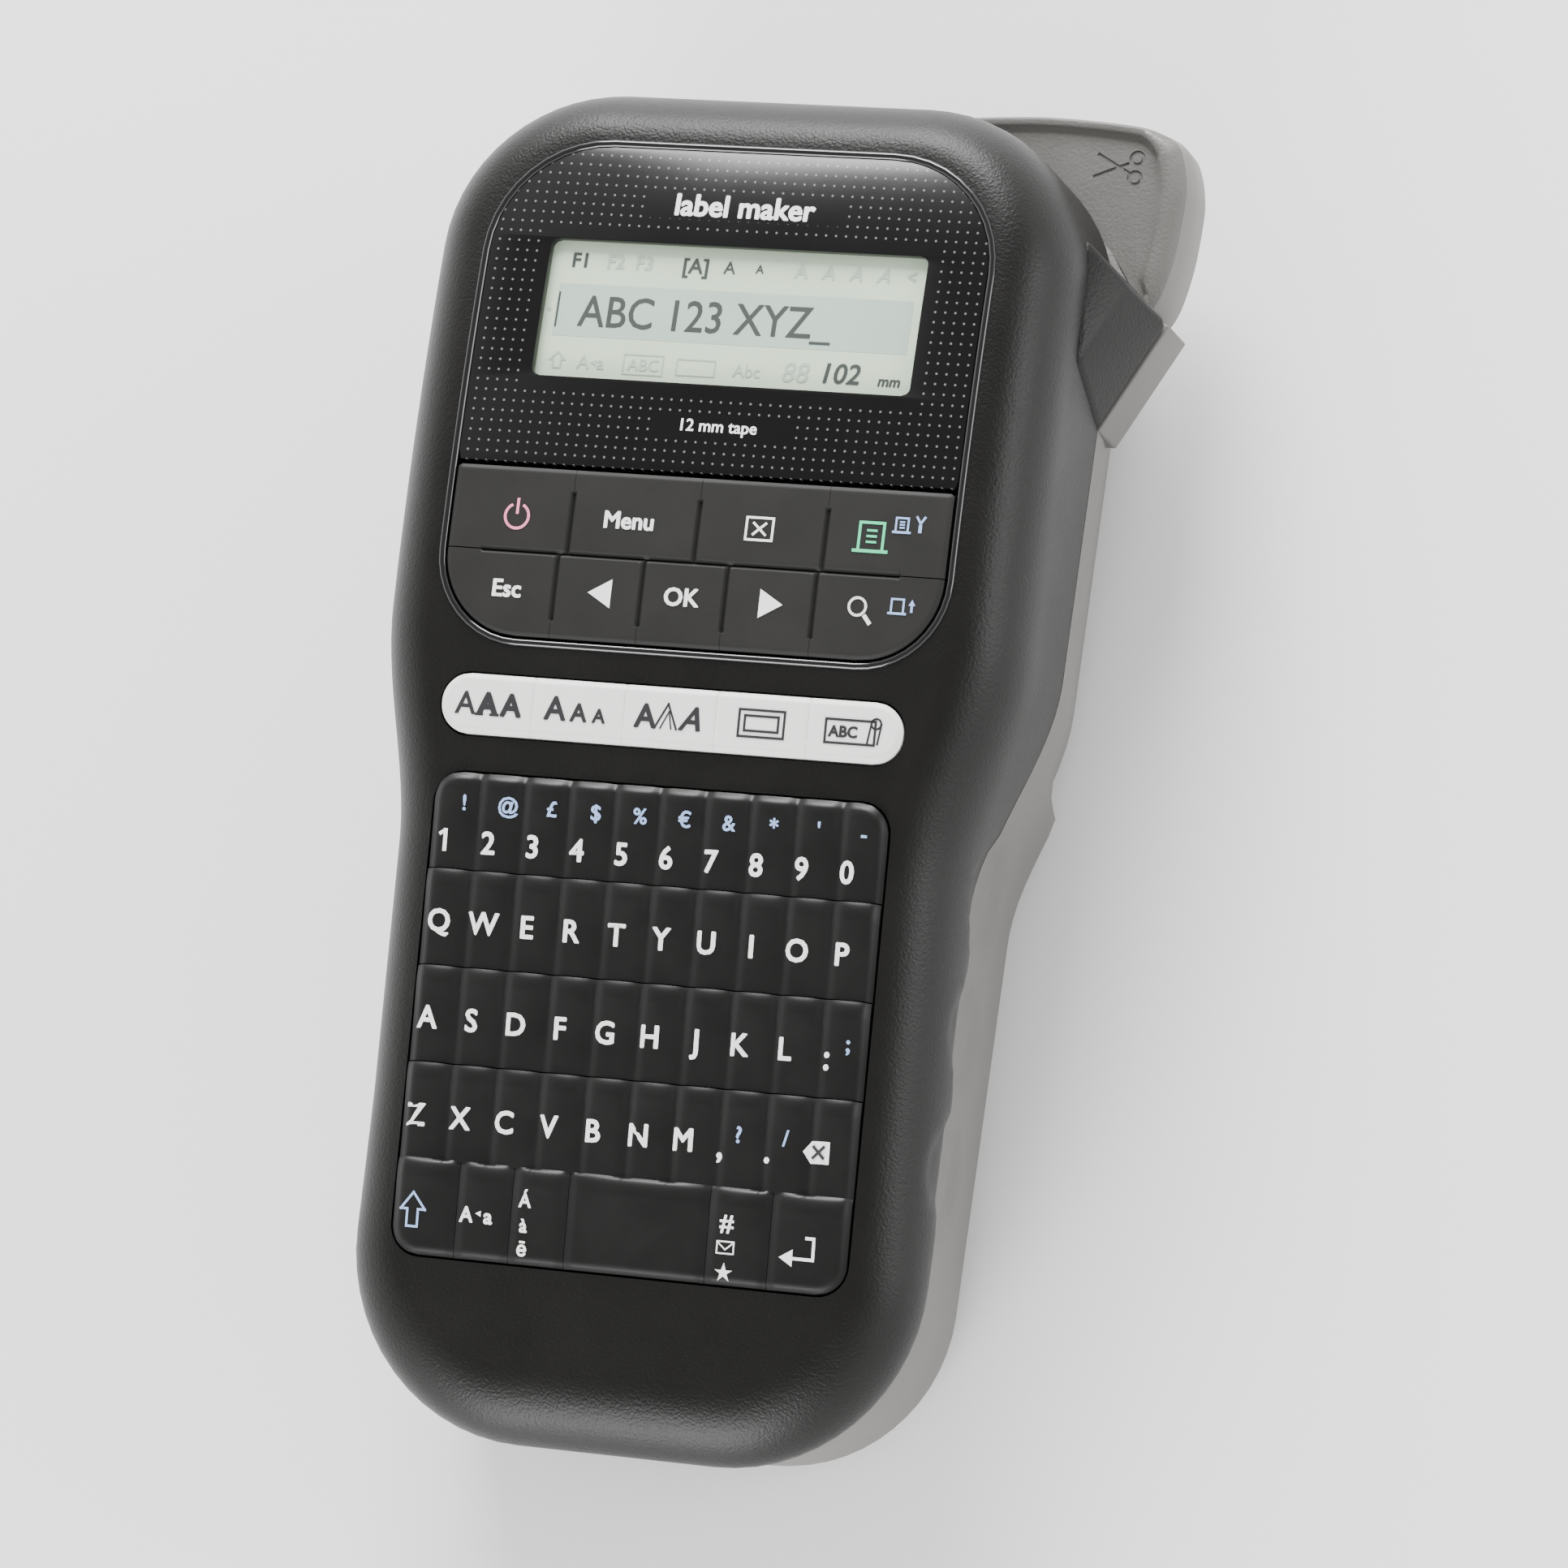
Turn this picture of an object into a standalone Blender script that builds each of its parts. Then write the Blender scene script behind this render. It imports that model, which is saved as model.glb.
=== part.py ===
"""Handheld label maker with a keyboard, a display and a side cutter lever.

The maker lies on its back. The origin is on the flat back face, on the keyboard's centre
line. +Y runs towards the display end, +X towards the cutter lever and +Z out of the
keyboard face. Every size below is in millimetres and becomes metres when a mesh is made.
"""
import math

import bmesh
import bpy
from mathutils import Vector

MM = 0.001

# Clearances
TOUCH_GAP = 0.3          # between pieces that rest on each other
RUN_GAP = 0.3            # round a shaft in its hole
KEY_GAP = 0.35           # round a key in its window

# Body
BODY_WIDTH = 100.2       # across the display end
WAIST_STEP = 5.7         # the keyboard end is this much narrower on each side
SHOULDER_SHIFT = 0.75    # the display end sits this far towards the lever
BODY_THICKNESS = 59.0    # back face to the highest point of the front
PARTING_HEIGHT = 29.0    # joint line between the front and rear shells
REAR_FACE_HEIGHT = 3.0   # the rear shell's back wall stands this far off the table
SHELL_WALL = 2.4
TOP_CORNER = 26.3
BOTTOM_CORNER = 29.0
EDGE_ACROSS = 10.0       # the soft front edge, seen from the front
EDGE_DOWN = 13.0         # the soft front edge, seen from the side
EDGE_SHARE = 0.72        # its most, as a share of the wall above the joint line
GRIP_TAPER = 2.2         # the keyboard end narrows this much down to the joint line
REAR_TAPER = 5.2         # the display end narrows this much below the joint line

# Front profile, seen from the side
KEY_TILT = math.radians(8.0)
PROFILE_RADIUS = 399.0
PROFILE_START = 2.9      # the flat keyboard face turns into the long arc here

# Front layout, stacked along Y from the top edge of the letter keys
KEYPAD_TOP = -6.8
KEY_ROW_PITCH = 14.2
KEY_ROWS = 5
KEY_COLUMNS = 10
KEYPAD_SIDE_MARGIN = 9.0
KEYPAD_CORNER = 4.4
CHIN = 25.0
STRIP_GAP = 5.4
STRIP_HEIGHT = 9.2
STRIP_CENTRE = 0.2
STRIP_SIDE_MARGIN = 8.4
PAD_GAP = 4.6
PAD_LOWER_ROW = 13.7
PAD_UPPER_ROW = 12.8
PAD_CORNER = 13.5
PANEL_BAR = 0.6          # thin bar between the function keys and the display panel
PANEL_HEIGHT = 50.3
PANEL_CENTRE = 1.2
PANEL_SIDE_MARGIN = 10.1
PANEL_CORNER = 18.0
TOP_MARGIN = 10.6

# Keys
KEY_PROUD = 0.8          # letter keys above the face
STRIP_PROUD = 0.7
PAD_PROUD = 0.4
SKIRT_CLEARANCE = 0.6    # key underside below the shell's wall
KEY_SKIRT = SHELL_WALL + SKIRT_CLEARANCE
KEY_TRAVEL = 0.8
MEMBRANE = 0.6

# Display
PANEL_THICKNESS = 1.3
GLASS_CENTRE = (1.4, 63.5)
GLASS_SIZE = (60.0, 22.0)
DISPLAY_THICKNESS = 3.0
DISPLAY_BORDER = 3.5

# Boards
BOARD_THICKNESS = 1.6
BOARD_DEPTH = 8.2        # key board below the face

# Tape cassette for 12 mm tape
CASSETTE_SIZE = (66.0, 42.5, 16.0)
CASSETTE_WALL_GAP = 15.85   # cassette to the outside of the right wall
CASSETTE_TOP_GAP = 24.9     # cassette to the display end
CASSETTE_FOOT = 3.4
CASSETTE_NOTCH = (9.0, 10.0)
BAY_GAP = 0.9
SPOOL_BORE = 3.2
TAPE_WIDTH = 12.0

# Print and feed mechanism
PLATE_GAP = 1.3
PLATE_THICKNESS = 1.2
GEAR_MODULE = 0.7
GEAR_WIDTH = 2.2
GEAR_ADDENDUM = 0.75     # in modules
GEAR_DEDENDUM = 0.9
TOOTH_CREST = 0.13       # half widths of a tooth, in tooth pitches
TOOTH_ROOT = 0.31
PLATEN_TEETH = 16
IDLER_TEETH = 20
SPOOL_TEETH = 16
PINION_TEETH = 10
IDLER_ANGLE = math.radians(205.0)
SPOOL_ANGLE = math.radians(215.0)
PINION_ANGLE = math.radians(290.0)
PLATEN_RADIUS = 3.4
SHAFT_RADIUS = 1.2
MOTOR_RADIUS = 7.5
MOTOR_LENGTH = 15.0
MOTOR_BORE = 1.6
MOTOR_BORE_DEPTH = 3.0
HEAD_SIZE = (6.0, 6.4)
PLATEN_WALL_GAP = 17.85     # platen axis to the outside of the right wall
TAPE_LINE_GAP = 0.7         # label's path past the cassette

# Cutter
LEVER_THICKNESS = 10.2
LEVER_GAP = 0.5
LEVER_PIN_RADIUS = 1.8
LEVER_PIN_IN = (29.85, 7.4)  # pin axis in from the right wall and the display end
PIN_BOSS_RADIUS = 3.4
BLADE_THICKNESS = 0.6
BLADE_WALL_GAP = 11.35
BLADE_REST_GAP = 1.4     # blade's edge past the label's path at rest
BLADE_HEIGHT = 5.5
ANVIL_SIZE = (4.5, 4.8)
EXIT_SLOT_WIDTH = 6.0
EXIT_SLOT_LENGTH = 18.0
PIN_ABOVE_LEVER = 4.5
PIN_BELOW_LEVER = 5.3
SPRING_SIZE = (1.3, 2.5)  # ring wall and height

# Hood over the label exit. Each point is how far it stands out of the right wall, how
# far it is past the tape line, and its height above the joint line.
HOOD_TIP = (8.9, -2.2, 0.0)
HOOD_HEEL = (0.2, -19.1, 0.0)
HOOD_SHOULDER = (0.4, -12.6, 15.0)
HOOD_RIDGE = (4.8, 0.8, 9.0)
HOOD_APEX = (-1.6, 6.6, 15.0)
SLOT_END = 13.4          # lever slot's end before the tape line
SLOT_LEFT = 8.5          # lever slot past its pin

# Battery bay for six small round cells
CELL_RADIUS = 5.25
CELL_LENGTH = 44.5
CELL_PITCH = 10.9
CELL_COUNT = 6
TRAY_WALL = 1.2
TRAY_MARGIN = 4.8        # tray in from the letter keys' lower edge
CONTACT_HALF_HEIGHT = 4.0
CELL_NUB = (1.9, 1.0)    # radius and height of the positive end
CONTACT_THICKNESS = 0.6

# Back cover
COVER_SIDE_MARGIN = 7.6
COVER_CORNER = 8.0
COVER_WALL = 1.4
COVER_RIM = 1.2
COVER_PAST_TRAY = 3.0
COVER_PAST_TAPE = 5.8
REAR_EDGE = 2.5          # soft edge round the rear shell's back wall
REAR_EDGE_ACROSS = 2.0
REAR_FLARE_HEIGHT = 12.0
REAR_FLARE_SHARE = 0.35   # of the taper that is left at that height
BAY_DEPTH = 9.0

# Fasteners and socket
SCREW_HEAD_RADIUS = 2.6
SCREW_HEAD_HEIGHT = 1.0
SCREW_RADIUS = 1.4
SCREW_LENGTH = 12.0
TOP_SCREW_HALF = 33.0
LOW_SCREW_HALF = 22.0
SCREW_PAST_COVER = 4.0
LOW_SCREW_PAST_COVER = 10.0
JACK_X = -7.0
JACK_HEIGHT = 21.0
JACK_RADIUS = 4.2
JACK_BORE = 2.75
JACK_LENGTH = 11.0
JACK_PIN_RADIUS = 1.0
JACK_INSET = 2.9         # socket's mouth in from the keyboard end

# Derived places
BODY_HALF = BODY_WIDTH / 2
KEYPAD_BOTTOM = KEYPAD_TOP - KEY_ROWS * KEY_ROW_PITCH
BODY_BOTTOM = KEYPAD_BOTTOM - CHIN
STRIP_BOTTOM = KEYPAD_TOP + STRIP_GAP
STRIP_TOP = STRIP_BOTTOM + STRIP_HEIGHT
PAD_BOTTOM = STRIP_TOP + PAD_GAP
PAD_MIDDLE = PAD_BOTTOM + PAD_LOWER_ROW
PAD_TOP = PAD_MIDDLE + PAD_UPPER_ROW
PANEL_BOTTOM = PAD_TOP + PANEL_BAR
PANEL_TOP = PANEL_BOTTOM + PANEL_HEIGHT
BODY_TOP = PANEL_TOP + TOP_MARGIN
KEYPAD_HALF = BODY_HALF - WAIST_STEP - KEYPAD_SIDE_MARGIN
STRIP_HALF = BODY_HALF - WAIST_STEP - STRIP_SIDE_MARGIN
PANEL_HALF = BODY_HALF - PANEL_SIDE_MARGIN
RIGHT_WALL = SHOULDER_SHIFT + BODY_HALF
REAR_INNER = REAR_FACE_HEIGHT + SHELL_WALL
PROFILE_HEIGHT = BODY_THICKNESS - PROFILE_RADIUS * math.tan(KEY_TILT) ** 2 / 2
CASSETTE_RIGHT = RIGHT_WALL - CASSETTE_WALL_GAP
CASSETTE_LEFT = CASSETTE_RIGHT - CASSETTE_SIZE[0]
CASSETTE_END = BODY_TOP - CASSETTE_TOP_GAP
CASSETTE_START = CASSETTE_END - CASSETTE_SIZE[1]
CASSETTE_ROOF = CASSETTE_FOOT + CASSETTE_SIZE[2]
TAPE_LINE = CASSETTE_END + TAPE_LINE_GAP
PLATE_LOW = CASSETTE_ROOF + PLATE_GAP
GEAR_LOW = PLATE_LOW + PLATE_THICKNESS + TOUCH_GAP
GEAR_HIGH = GEAR_LOW + GEAR_WIDTH
PLATEN_X = RIGHT_WALL - PLATEN_WALL_GAP
PLATEN_Y = TAPE_LINE + TOUCH_GAP / 2 + PLATEN_RADIUS
PIN_X = RIGHT_WALL - LEVER_PIN_IN[0]
PIN_Y = BODY_TOP - LEVER_PIN_IN[1]
LEVER_HIGH = PARTING_HEIGHT - LEVER_GAP
LEVER_LOW = LEVER_HIGH - LEVER_THICKNESS
PIN_FOOT = LEVER_LOW - PIN_BELOW_LEVER
CONTACT_SPACE = CONTACT_THICKNESS + 2 * TOUCH_GAP
TRAY_HALF = CELL_PITCH * CELL_COUNT / 2 + TOUCH_GAP + TRAY_WALL
TRAY_BOTTOM = KEYPAD_BOTTOM + TRAY_MARGIN
TRAY_TOP = TRAY_BOTTOM + CELL_LENGTH + 2 * (CONTACT_SPACE + TRAY_WALL)
CELL_HEIGHT = REAR_FACE_HEIGHT + TOUCH_GAP + CELL_RADIUS
TRAY_ROOF = CELL_HEIGHT + CELL_RADIUS + TOUCH_GAP + TRAY_WALL
COVER_HALF = BODY_HALF - WAIST_STEP - COVER_SIDE_MARGIN
COVER_BOTTOM = TRAY_BOTTOM - COVER_PAST_TRAY
COVER_TOP = TAPE_LINE + COVER_PAST_TAPE
TOP_SCREW_Y = COVER_TOP + SCREW_PAST_COVER
LOW_SCREW_Y = COVER_BOTTOM - LOW_SCREW_PAST_COVER
SCREW_PLACES = [(SHOULDER_SHIFT - TOP_SCREW_HALF, TOP_SCREW_Y),
                (SHOULDER_SHIFT + TOP_SCREW_HALF, TOP_SCREW_Y),
                (-LOW_SCREW_HALF, LOW_SCREW_Y), (LOW_SCREW_HALF, LOW_SCREW_Y)]

COLLECTIONS = {}


# ---------------------------------------------------------------- scene and materials

def clear_scene():
    """Remove everything the new file starts with."""
    for item in list(bpy.data.objects):
        bpy.data.objects.remove(item, do_unlink=True)


def collection(name):
    """Return the named collection, made on first use."""
    if name not in COLLECTIONS:
        COLLECTIONS[name] = bpy.data.collections.new(name)
        bpy.context.scene.collection.children.link(COLLECTIONS[name])
    return COLLECTIONS[name]


def finish(name, colour, roughness, metallic=0.0):
    """A Principled material in one colour."""
    material = bpy.data.materials.new(name)
    material.use_nodes = True
    shader = material.node_tree.nodes["Principled BSDF"]
    shader.inputs["Base Color"].default_value = (*colour, 1.0)
    shader.inputs["Roughness"].default_value = roughness
    shader.inputs["Metallic"].default_value = metallic
    return material


# ---------------------------------------------------------------- front profile and plan

def smooth_step(value, start, end):
    """Rise from 0 to 1 between start and end, level at both."""
    t = min(max((value - start) / (end - start), 0.0), 1.0)
    return t * t * (3 - 2 * t)


def front_height(y):
    """Height of the front face: flat under the keys, a long arc past them."""
    height = PROFILE_HEIGHT + math.tan(KEY_TILT) * (y - PROFILE_START)
    if y > PROFILE_START:
        height -= (y - PROFILE_START) ** 2 / (2 * PROFILE_RADIUS)
    return height


def shoulder(y):
    """0 at the keyboard end, 1 at the display end."""
    return smooth_step(y, KEYPAD_TOP - 10.0, PAD_BOTTOM + 6.0)


def body_sides(y):
    """Left and right X of the body's widest outline."""
    half = BODY_HALF - WAIST_STEP * (1 - shoulder(y))
    centre = SHOULDER_SHIFT * shoulder(y)
    return centre - half, centre + half


def corner_angles(steps):
    """Angles from the flat end of a corner to its side, 90 to 0 degrees."""
    return [math.pi / 2 * (1 - i / steps) for i in range(steps + 1)]


def body_rows(inset):
    """Rows (y, left, right) of the body outline, top to bottom, moved in by inset(y)."""
    rows = []
    top_centre = BODY_TOP - TOP_CORNER
    bottom_centre = BODY_BOTTOM + BOTTOM_CORNER
    for angle in corner_angles(7):
        left, right = body_sides(BODY_TOP)
        reach = (TOP_CORNER - inset(BODY_TOP)) * math.cos(angle) - TOP_CORNER
        y = top_centre + (TOP_CORNER - inset(BODY_TOP)) * math.sin(angle)
        rows.append((y, left - reach, right + reach))
    steps = 14
    for i in range(1, steps):
        y = top_centre + (bottom_centre - top_centre) * i / steps
        left, right = body_sides(y)
        rows.append((y, left + inset(y), right - inset(y)))
    for angle in reversed(corner_angles(7)):
        left, right = body_sides(BODY_BOTTOM)
        reach = (BOTTOM_CORNER - inset(BODY_BOTTOM)) * math.cos(angle) - BOTTOM_CORNER
        y = bottom_centre - (BOTTOM_CORNER - inset(BODY_BOTTOM)) * math.sin(angle)
        rows.append((y, left - reach, right + reach))
    return rows


def round_rows(left, right, bottom, top, low_corner, high_corner, steps=5, middle=4):
    """Rows (y, left, right) of a rectangle with round corners, top to bottom."""
    rows = []
    for angle in corner_angles(steps):
        cut = high_corner * (1 - math.cos(angle))
        rows.append((top - high_corner * (1 - math.sin(angle)), left + cut, right - cut))
    upper = top - high_corner
    lower = bottom + low_corner
    for i in range(1, middle):
        rows.append((upper + (lower - upper) * i / middle, left, right))
    for angle in reversed(corner_angles(steps)):
        cut = low_corner * (1 - math.cos(angle))
        rows.append((bottom + low_corner * (1 - math.sin(angle)), left + cut, right - cut))
    return rows


# ---------------------------------------------------------------- mesh makers

def add_object(name, bm, material=None, origin=(0, 0, 0), rotation=(0, 0, 0), smooth=False):
    """Turn a bmesh in millimetres into an object with its origin at a given place."""
    for vertex in bm.verts:
        vertex.co *= MM
    bmesh.ops.recalc_face_normals(bm, faces=bm.faces)
    mesh = bpy.data.meshes.new(name)
    bm.to_mesh(mesh)
    bm.free()
    item = bpy.data.objects.new(name, mesh)
    item.location = Vector(origin) * MM
    item.rotation_euler = rotation
    if smooth:
        mesh.shade_smooth()
        mesh.set_sharp_from_angle(angle=math.radians(35))
    if material is None:
        item.hide_render = True
        item.display_type = "WIRE"
        collection("cutters").objects.link(item)
    else:
        mesh.materials.append(material)
        collection("label_maker").objects.link(item)
    return item


def box(name, low, high, material=None, origin=None, rotation=(0, 0, 0)):
    """A box between two corners; with an origin, the corners are relative to it."""
    bm = bmesh.new()
    bmesh.ops.create_cube(bm, size=1)
    size = Vector(high) - Vector(low)
    bmesh.ops.scale(bm, vec=size, verts=bm.verts)
    bmesh.ops.translate(bm, vec=Vector(low) + size / 2, verts=bm.verts)
    return add_object(name, bm, material, origin or (0, 0, 0), rotation)


def prism(name, points, low, high, material=None, origin=(0, 0, 0)):
    """A flat outline (x, y) raised from low to high; points are relative to the origin."""
    bm = bmesh.new()
    face = bm.faces.new([bm.verts.new((x, y, low)) for x, y in points])
    raised = bmesh.ops.extrude_face_region(bm, geom=[face])["geom"]
    moved = [item for item in raised if isinstance(item, bmesh.types.BMVert)]
    bmesh.ops.translate(bm, vec=(0, 0, high - low), verts=moved)
    return add_object(name, bm, material, origin)


def slab(name, rows, top, bottom, material=None, origin=(0, 0, 0)):
    """A plate with the outline of the rows, between two height functions of y."""
    bm = bmesh.new()
    ox, oy, oz = origin
    levels = []
    for height in (top, bottom):
        ring = []
        for y, left, right in rows:
            z = height(y) - oz
            ring.append((bm.verts.new((left - ox, y - oy, z)), bm.verts.new((right - ox, y - oy, z))))
        levels.append(ring)
    upper, lower = levels
    for i in range(len(rows) - 1):
        bm.faces.new((upper[i][0], upper[i][1], upper[i + 1][1], upper[i + 1][0]))
        bm.faces.new((lower[i][0], lower[i + 1][0], lower[i + 1][1], lower[i][1]))
        bm.faces.new((upper[i][0], upper[i + 1][0], lower[i + 1][0], lower[i][0]))
        bm.faces.new((upper[i][1], lower[i][1], lower[i + 1][1], upper[i + 1][1]))
    for i in (0, -1):
        bm.faces.new((upper[i][0], lower[i][0], lower[i][1], upper[i][1]))
    return add_object(name, bm, material, origin)


def turned(name, profile, origin, material=None, axis="Z", steps=24):
    """Turn a profile of (radius, height) about an axis through the origin."""
    bm = bmesh.new()
    line = [bm.verts.new((radius, 0, height)) for radius, height in profile]
    for start, end in zip(line, line[1:]):
        bm.edges.new((start, end))
    rotation = {"Z": (0, 0, 0), "Y": (-math.pi / 2, 0, 0)}[axis]
    item = add_object(name, bm, material, origin, rotation)
    screw = item.modifiers.new("turn", "SCREW")
    screw.steps = steps
    screw.render_steps = steps
    screw.use_merge_vertices = True
    screw.merge_threshold = 0.00001
    return item


def shaft(name, profile, x, y, material=None, steps=16):
    """A turned shaft on a vertical axis."""
    return turned(name, profile, (x, y, 0), material, steps=steps)


def rod(radius, low, high):
    """Profile of a plain round rod."""
    return [(0, high), (radius, high), (radius, low), (0, low)]


def hull(name, points, material=None):
    """The convex solid round a set of points."""
    bm = bmesh.new()
    verts = [bm.verts.new(point) for point in points]
    result = bmesh.ops.convex_hull(bm, input=verts)
    spare = [item for item in result["geom_interior"] if isinstance(item, bmesh.types.BMVert)]
    bmesh.ops.delete(bm, geom=spare, context="VERTS")
    return add_object(name, bm, material)


def combine(item, other, operation):
    """Cut or join another solid with a Boolean modifier."""
    modifier = item.modifiers.new(other.name, "BOOLEAN")
    modifier.operation = operation
    modifier.solver = "EXACT"
    modifier.object = other


def cut(item, *others):
    """Cut the other solids from the item."""
    for other in others:
        combine(item, other, "DIFFERENCE")


def join(item, *others):
    """Join the other solids to the item."""
    for other in others:
        combine(item, other, "UNION")


# ---------------------------------------------------------------- shells

def parting_inset(y):
    """How far the wall leans in at the joint line."""
    return GRIP_TAPER * (1 - shoulder(y))


def rear_inset(y):
    """How far the rear shell's foot stands in; it steps out at the battery bay."""
    step = smooth_step(y, STRIP_BOTTOM + 3.0, STRIP_TOP)
    return parting_inset(y) + 1.8 + (REAR_TAPER - 1.8) * step


def shell_surface(name, rings, material, wall):
    """Loft a cup from rings of (rows, height function), close its first ring, add a wall."""
    bm = bmesh.new()
    loops = []
    for rows, height in rings:
        right = [bm.verts.new((row[2], row[0], height(row[0]))) for row in rows]
        left = [bm.verts.new((row[1], row[0], height(row[0]))) for row in rows]
        loops.append((left, right))
    for (left, right), (next_left, next_right) in zip(loops, loops[1:]):
        ring = right + left[::-1]
        next_ring = next_right + next_left[::-1]
        for i in range(len(ring)):
            j = (i + 1) % len(ring)
            bm.faces.new((ring[i], ring[j], next_ring[j], next_ring[i]))
    left, right = loops[0]
    for i in range(len(left) - 1):
        bm.faces.new((left[i], left[i + 1], right[i + 1], right[i]))
    item = add_object(name, bm, material, smooth=True)
    solid = item.modifiers.new("wall", "SOLIDIFY")
    solid.thickness = wall * MM
    solid.offset = -1
    solid.use_even_offset = True
    item.modifiers.new("flat_faces", "TRIANGULATE")
    return item


def edge_down(y):
    """Depth of the soft front edge, less where the body is thin."""
    return min(EDGE_DOWN, EDGE_SHARE * (front_height(y) - PARTING_HEIGHT))


def edge_rings(steps):
    """Rings of the soft front edge, from the face to the widest outline."""
    rings = []
    for i in range(steps + 1):
        angle = math.pi / 2 * i / steps
        inset = EDGE_ACROSS * (1 - math.sin(angle))
        share = 1 - math.cos(angle)
        rows = body_rows(lambda y, inset=inset: inset)
        rings.append((rows, lambda y, share=share: front_height(y) - share * edge_down(y)))
    return rings


def wall_ring(share):
    """A ring part of the way down the wall under the soft edge, curving in under it."""
    rows = body_rows(lambda y: share ** 2 * parting_inset(y))
    return rows, lambda y: (front_height(y) - edge_down(y)) * (1 - share) + PARTING_HEIGHT * share


def parting_box(name, low, high):
    """A block wider than the body, for trimming a shell at the joint line."""
    reach = BODY_WIDTH
    return box(name, (-reach, BODY_BOTTOM - reach, low), (reach, BODY_TOP + reach, high))


def on_face(offset):
    """Height function parallel to the front face."""
    return lambda y: front_height(y) + offset


def pad_rows(margin=0.0):
    """Outline of the function key area, moved out by a margin."""
    return round_rows(PANEL_CENTRE - PANEL_HALF - margin, PANEL_CENTRE + PANEL_HALF + margin,
                      PAD_BOTTOM - margin, PAD_TOP + margin, PAD_CORNER + margin, 1.0)


def panel_rows(margin=0.0):
    """Outline of the display panel, moved out by a margin."""
    return round_rows(PANEL_CENTRE - PANEL_HALF - margin, PANEL_CENTRE + PANEL_HALF + margin,
                      PANEL_BOTTOM - margin, PANEL_TOP + margin, 1.0, PANEL_CORNER + margin, middle=6)


def strip_rows(margin=0.0):
    """Outline of the style key strip, moved out by a margin."""
    round_end = STRIP_HEIGHT / 2 + margin - 0.2
    return round_rows(STRIP_CENTRE - STRIP_HALF - margin, STRIP_CENTRE + STRIP_HALF + margin,
                      STRIP_BOTTOM - margin, STRIP_TOP + margin, round_end, round_end, middle=1)


def keypad_rows(margin=0.0):
    """Outline of the letter key area, moved out by a margin."""
    return round_rows(-KEYPAD_HALF - margin, KEYPAD_HALF + margin, KEYPAD_BOTTOM - margin,
                      KEYPAD_TOP + margin, KEYPAD_CORNER, KEYPAD_CORNER, steps=3, middle=1)


def glass_rows(margin=0.0):
    """Outline of the display window, moved out by a margin."""
    x, y = GLASS_CENTRE
    half_width = GLASS_SIZE[0] / 2 + margin
    half_height = GLASS_SIZE[1] / 2 + margin
    return round_rows(x - half_width, x + half_width, y - half_height, y + half_height,
                      1.5, 1.5, steps=2, middle=3)


def hood_point(spot, x=None):
    """A hood point's place above the joint line, or the point beside it at another x."""
    out, past, up = spot
    side = RIGHT_WALL + out if x is None else x
    return side, TAPE_LINE + past, PARTING_HEIGHT + TOUCH_GAP / 2 + up


def hood_block():
    """The pointed hood beside the display that the cut label leaves under."""
    inner = RIGHT_WALL - SHELL_WALL * 0.75
    tip, heel, shoulder_point = hood_point(HOOD_TIP), hood_point(HOOD_HEEL), hood_point(HOOD_SHOULDER)
    ridge, apex = hood_point(HOOD_RIDGE), hood_point(HOOD_APEX)
    inside = [hood_point(spot, inner) for spot in (HOOD_HEEL, HOOD_SHOULDER, HOOD_APEX)]
    below_apex = (inner, apex[1], heel[2])
    return hull("hood_block", [tip, heel, shoulder_point, ridge, apex, below_apex] + inside)


def guard_block():
    """The guard under the hood, round the end of the lever's slot."""
    inner = RIGHT_WALL - SHELL_WALL * 0.9
    plan = [hood_point(HOOD_TIP)[:2], hood_point(HOOD_HEEL)[:2], hood_point(HOOD_HEEL, inner)[:2],
            (inner, TAPE_LINE + EXIT_SLOT_WIDTH / 2 + 1.0)]
    return prism("guard_block", plan, LEVER_LOW + LEVER_GAP, PARTING_HEIGHT - TOUCH_GAP / 2)


def make_front_shell(material):
    """The black front housing with its four windows and the hood."""
    rings = edge_rings(5)
    rings += [wall_ring(0.5), wall_ring(1.0)]
    rings.append((body_rows(parting_inset), lambda y: PARTING_HEIGHT - 4.0))
    shell = shell_surface("front_shell", rings, material, SHELL_WALL)
    trim = PARTING_HEIGHT + TOUCH_GAP / 2
    cut(shell, parting_box("front_trim", trim - 20.0, trim))
    depth = PANEL_THICKNESS + TOUCH_GAP
    cut(shell, slab("panel_recess", panel_rows(TOUCH_GAP), on_face(5.0), on_face(-depth)))
    cut(shell, slab("glass_hole", glass_rows(), on_face(3.0), on_face(-9.0)))
    cut(shell, slab("pad_window", pad_rows(), on_face(6.0), on_face(-9.0)))
    cut(shell, slab("strip_window", strip_rows(KEY_GAP), on_face(5.5), on_face(-9.0)))
    cut(shell, slab("keypad_window", keypad_rows(KEY_GAP), on_face(5.2), on_face(-9.0)))
    join(shell, hood_block())
    return shell


def rear_rings():
    """Rings of the rear shell, from the edge of its back wall up past the joint line."""
    share = REAR_FLARE_SHARE
    flare = body_rows(lambda y: share * rear_inset(y) + (1 - share) * parting_inset(y))
    waist = body_rows(parting_inset)
    return [(body_rows(lambda y: rear_inset(y) + REAR_EDGE_ACROSS), lambda y: REAR_FACE_HEIGHT),
            (body_rows(rear_inset), lambda y: REAR_FACE_HEIGHT + REAR_EDGE),
            (flare, lambda y: REAR_FACE_HEIGHT + REAR_FLARE_HEIGHT),
            (waist, lambda y: PARTING_HEIGHT),
            (waist, lambda y: PARTING_HEIGHT + 4.0)]


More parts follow.
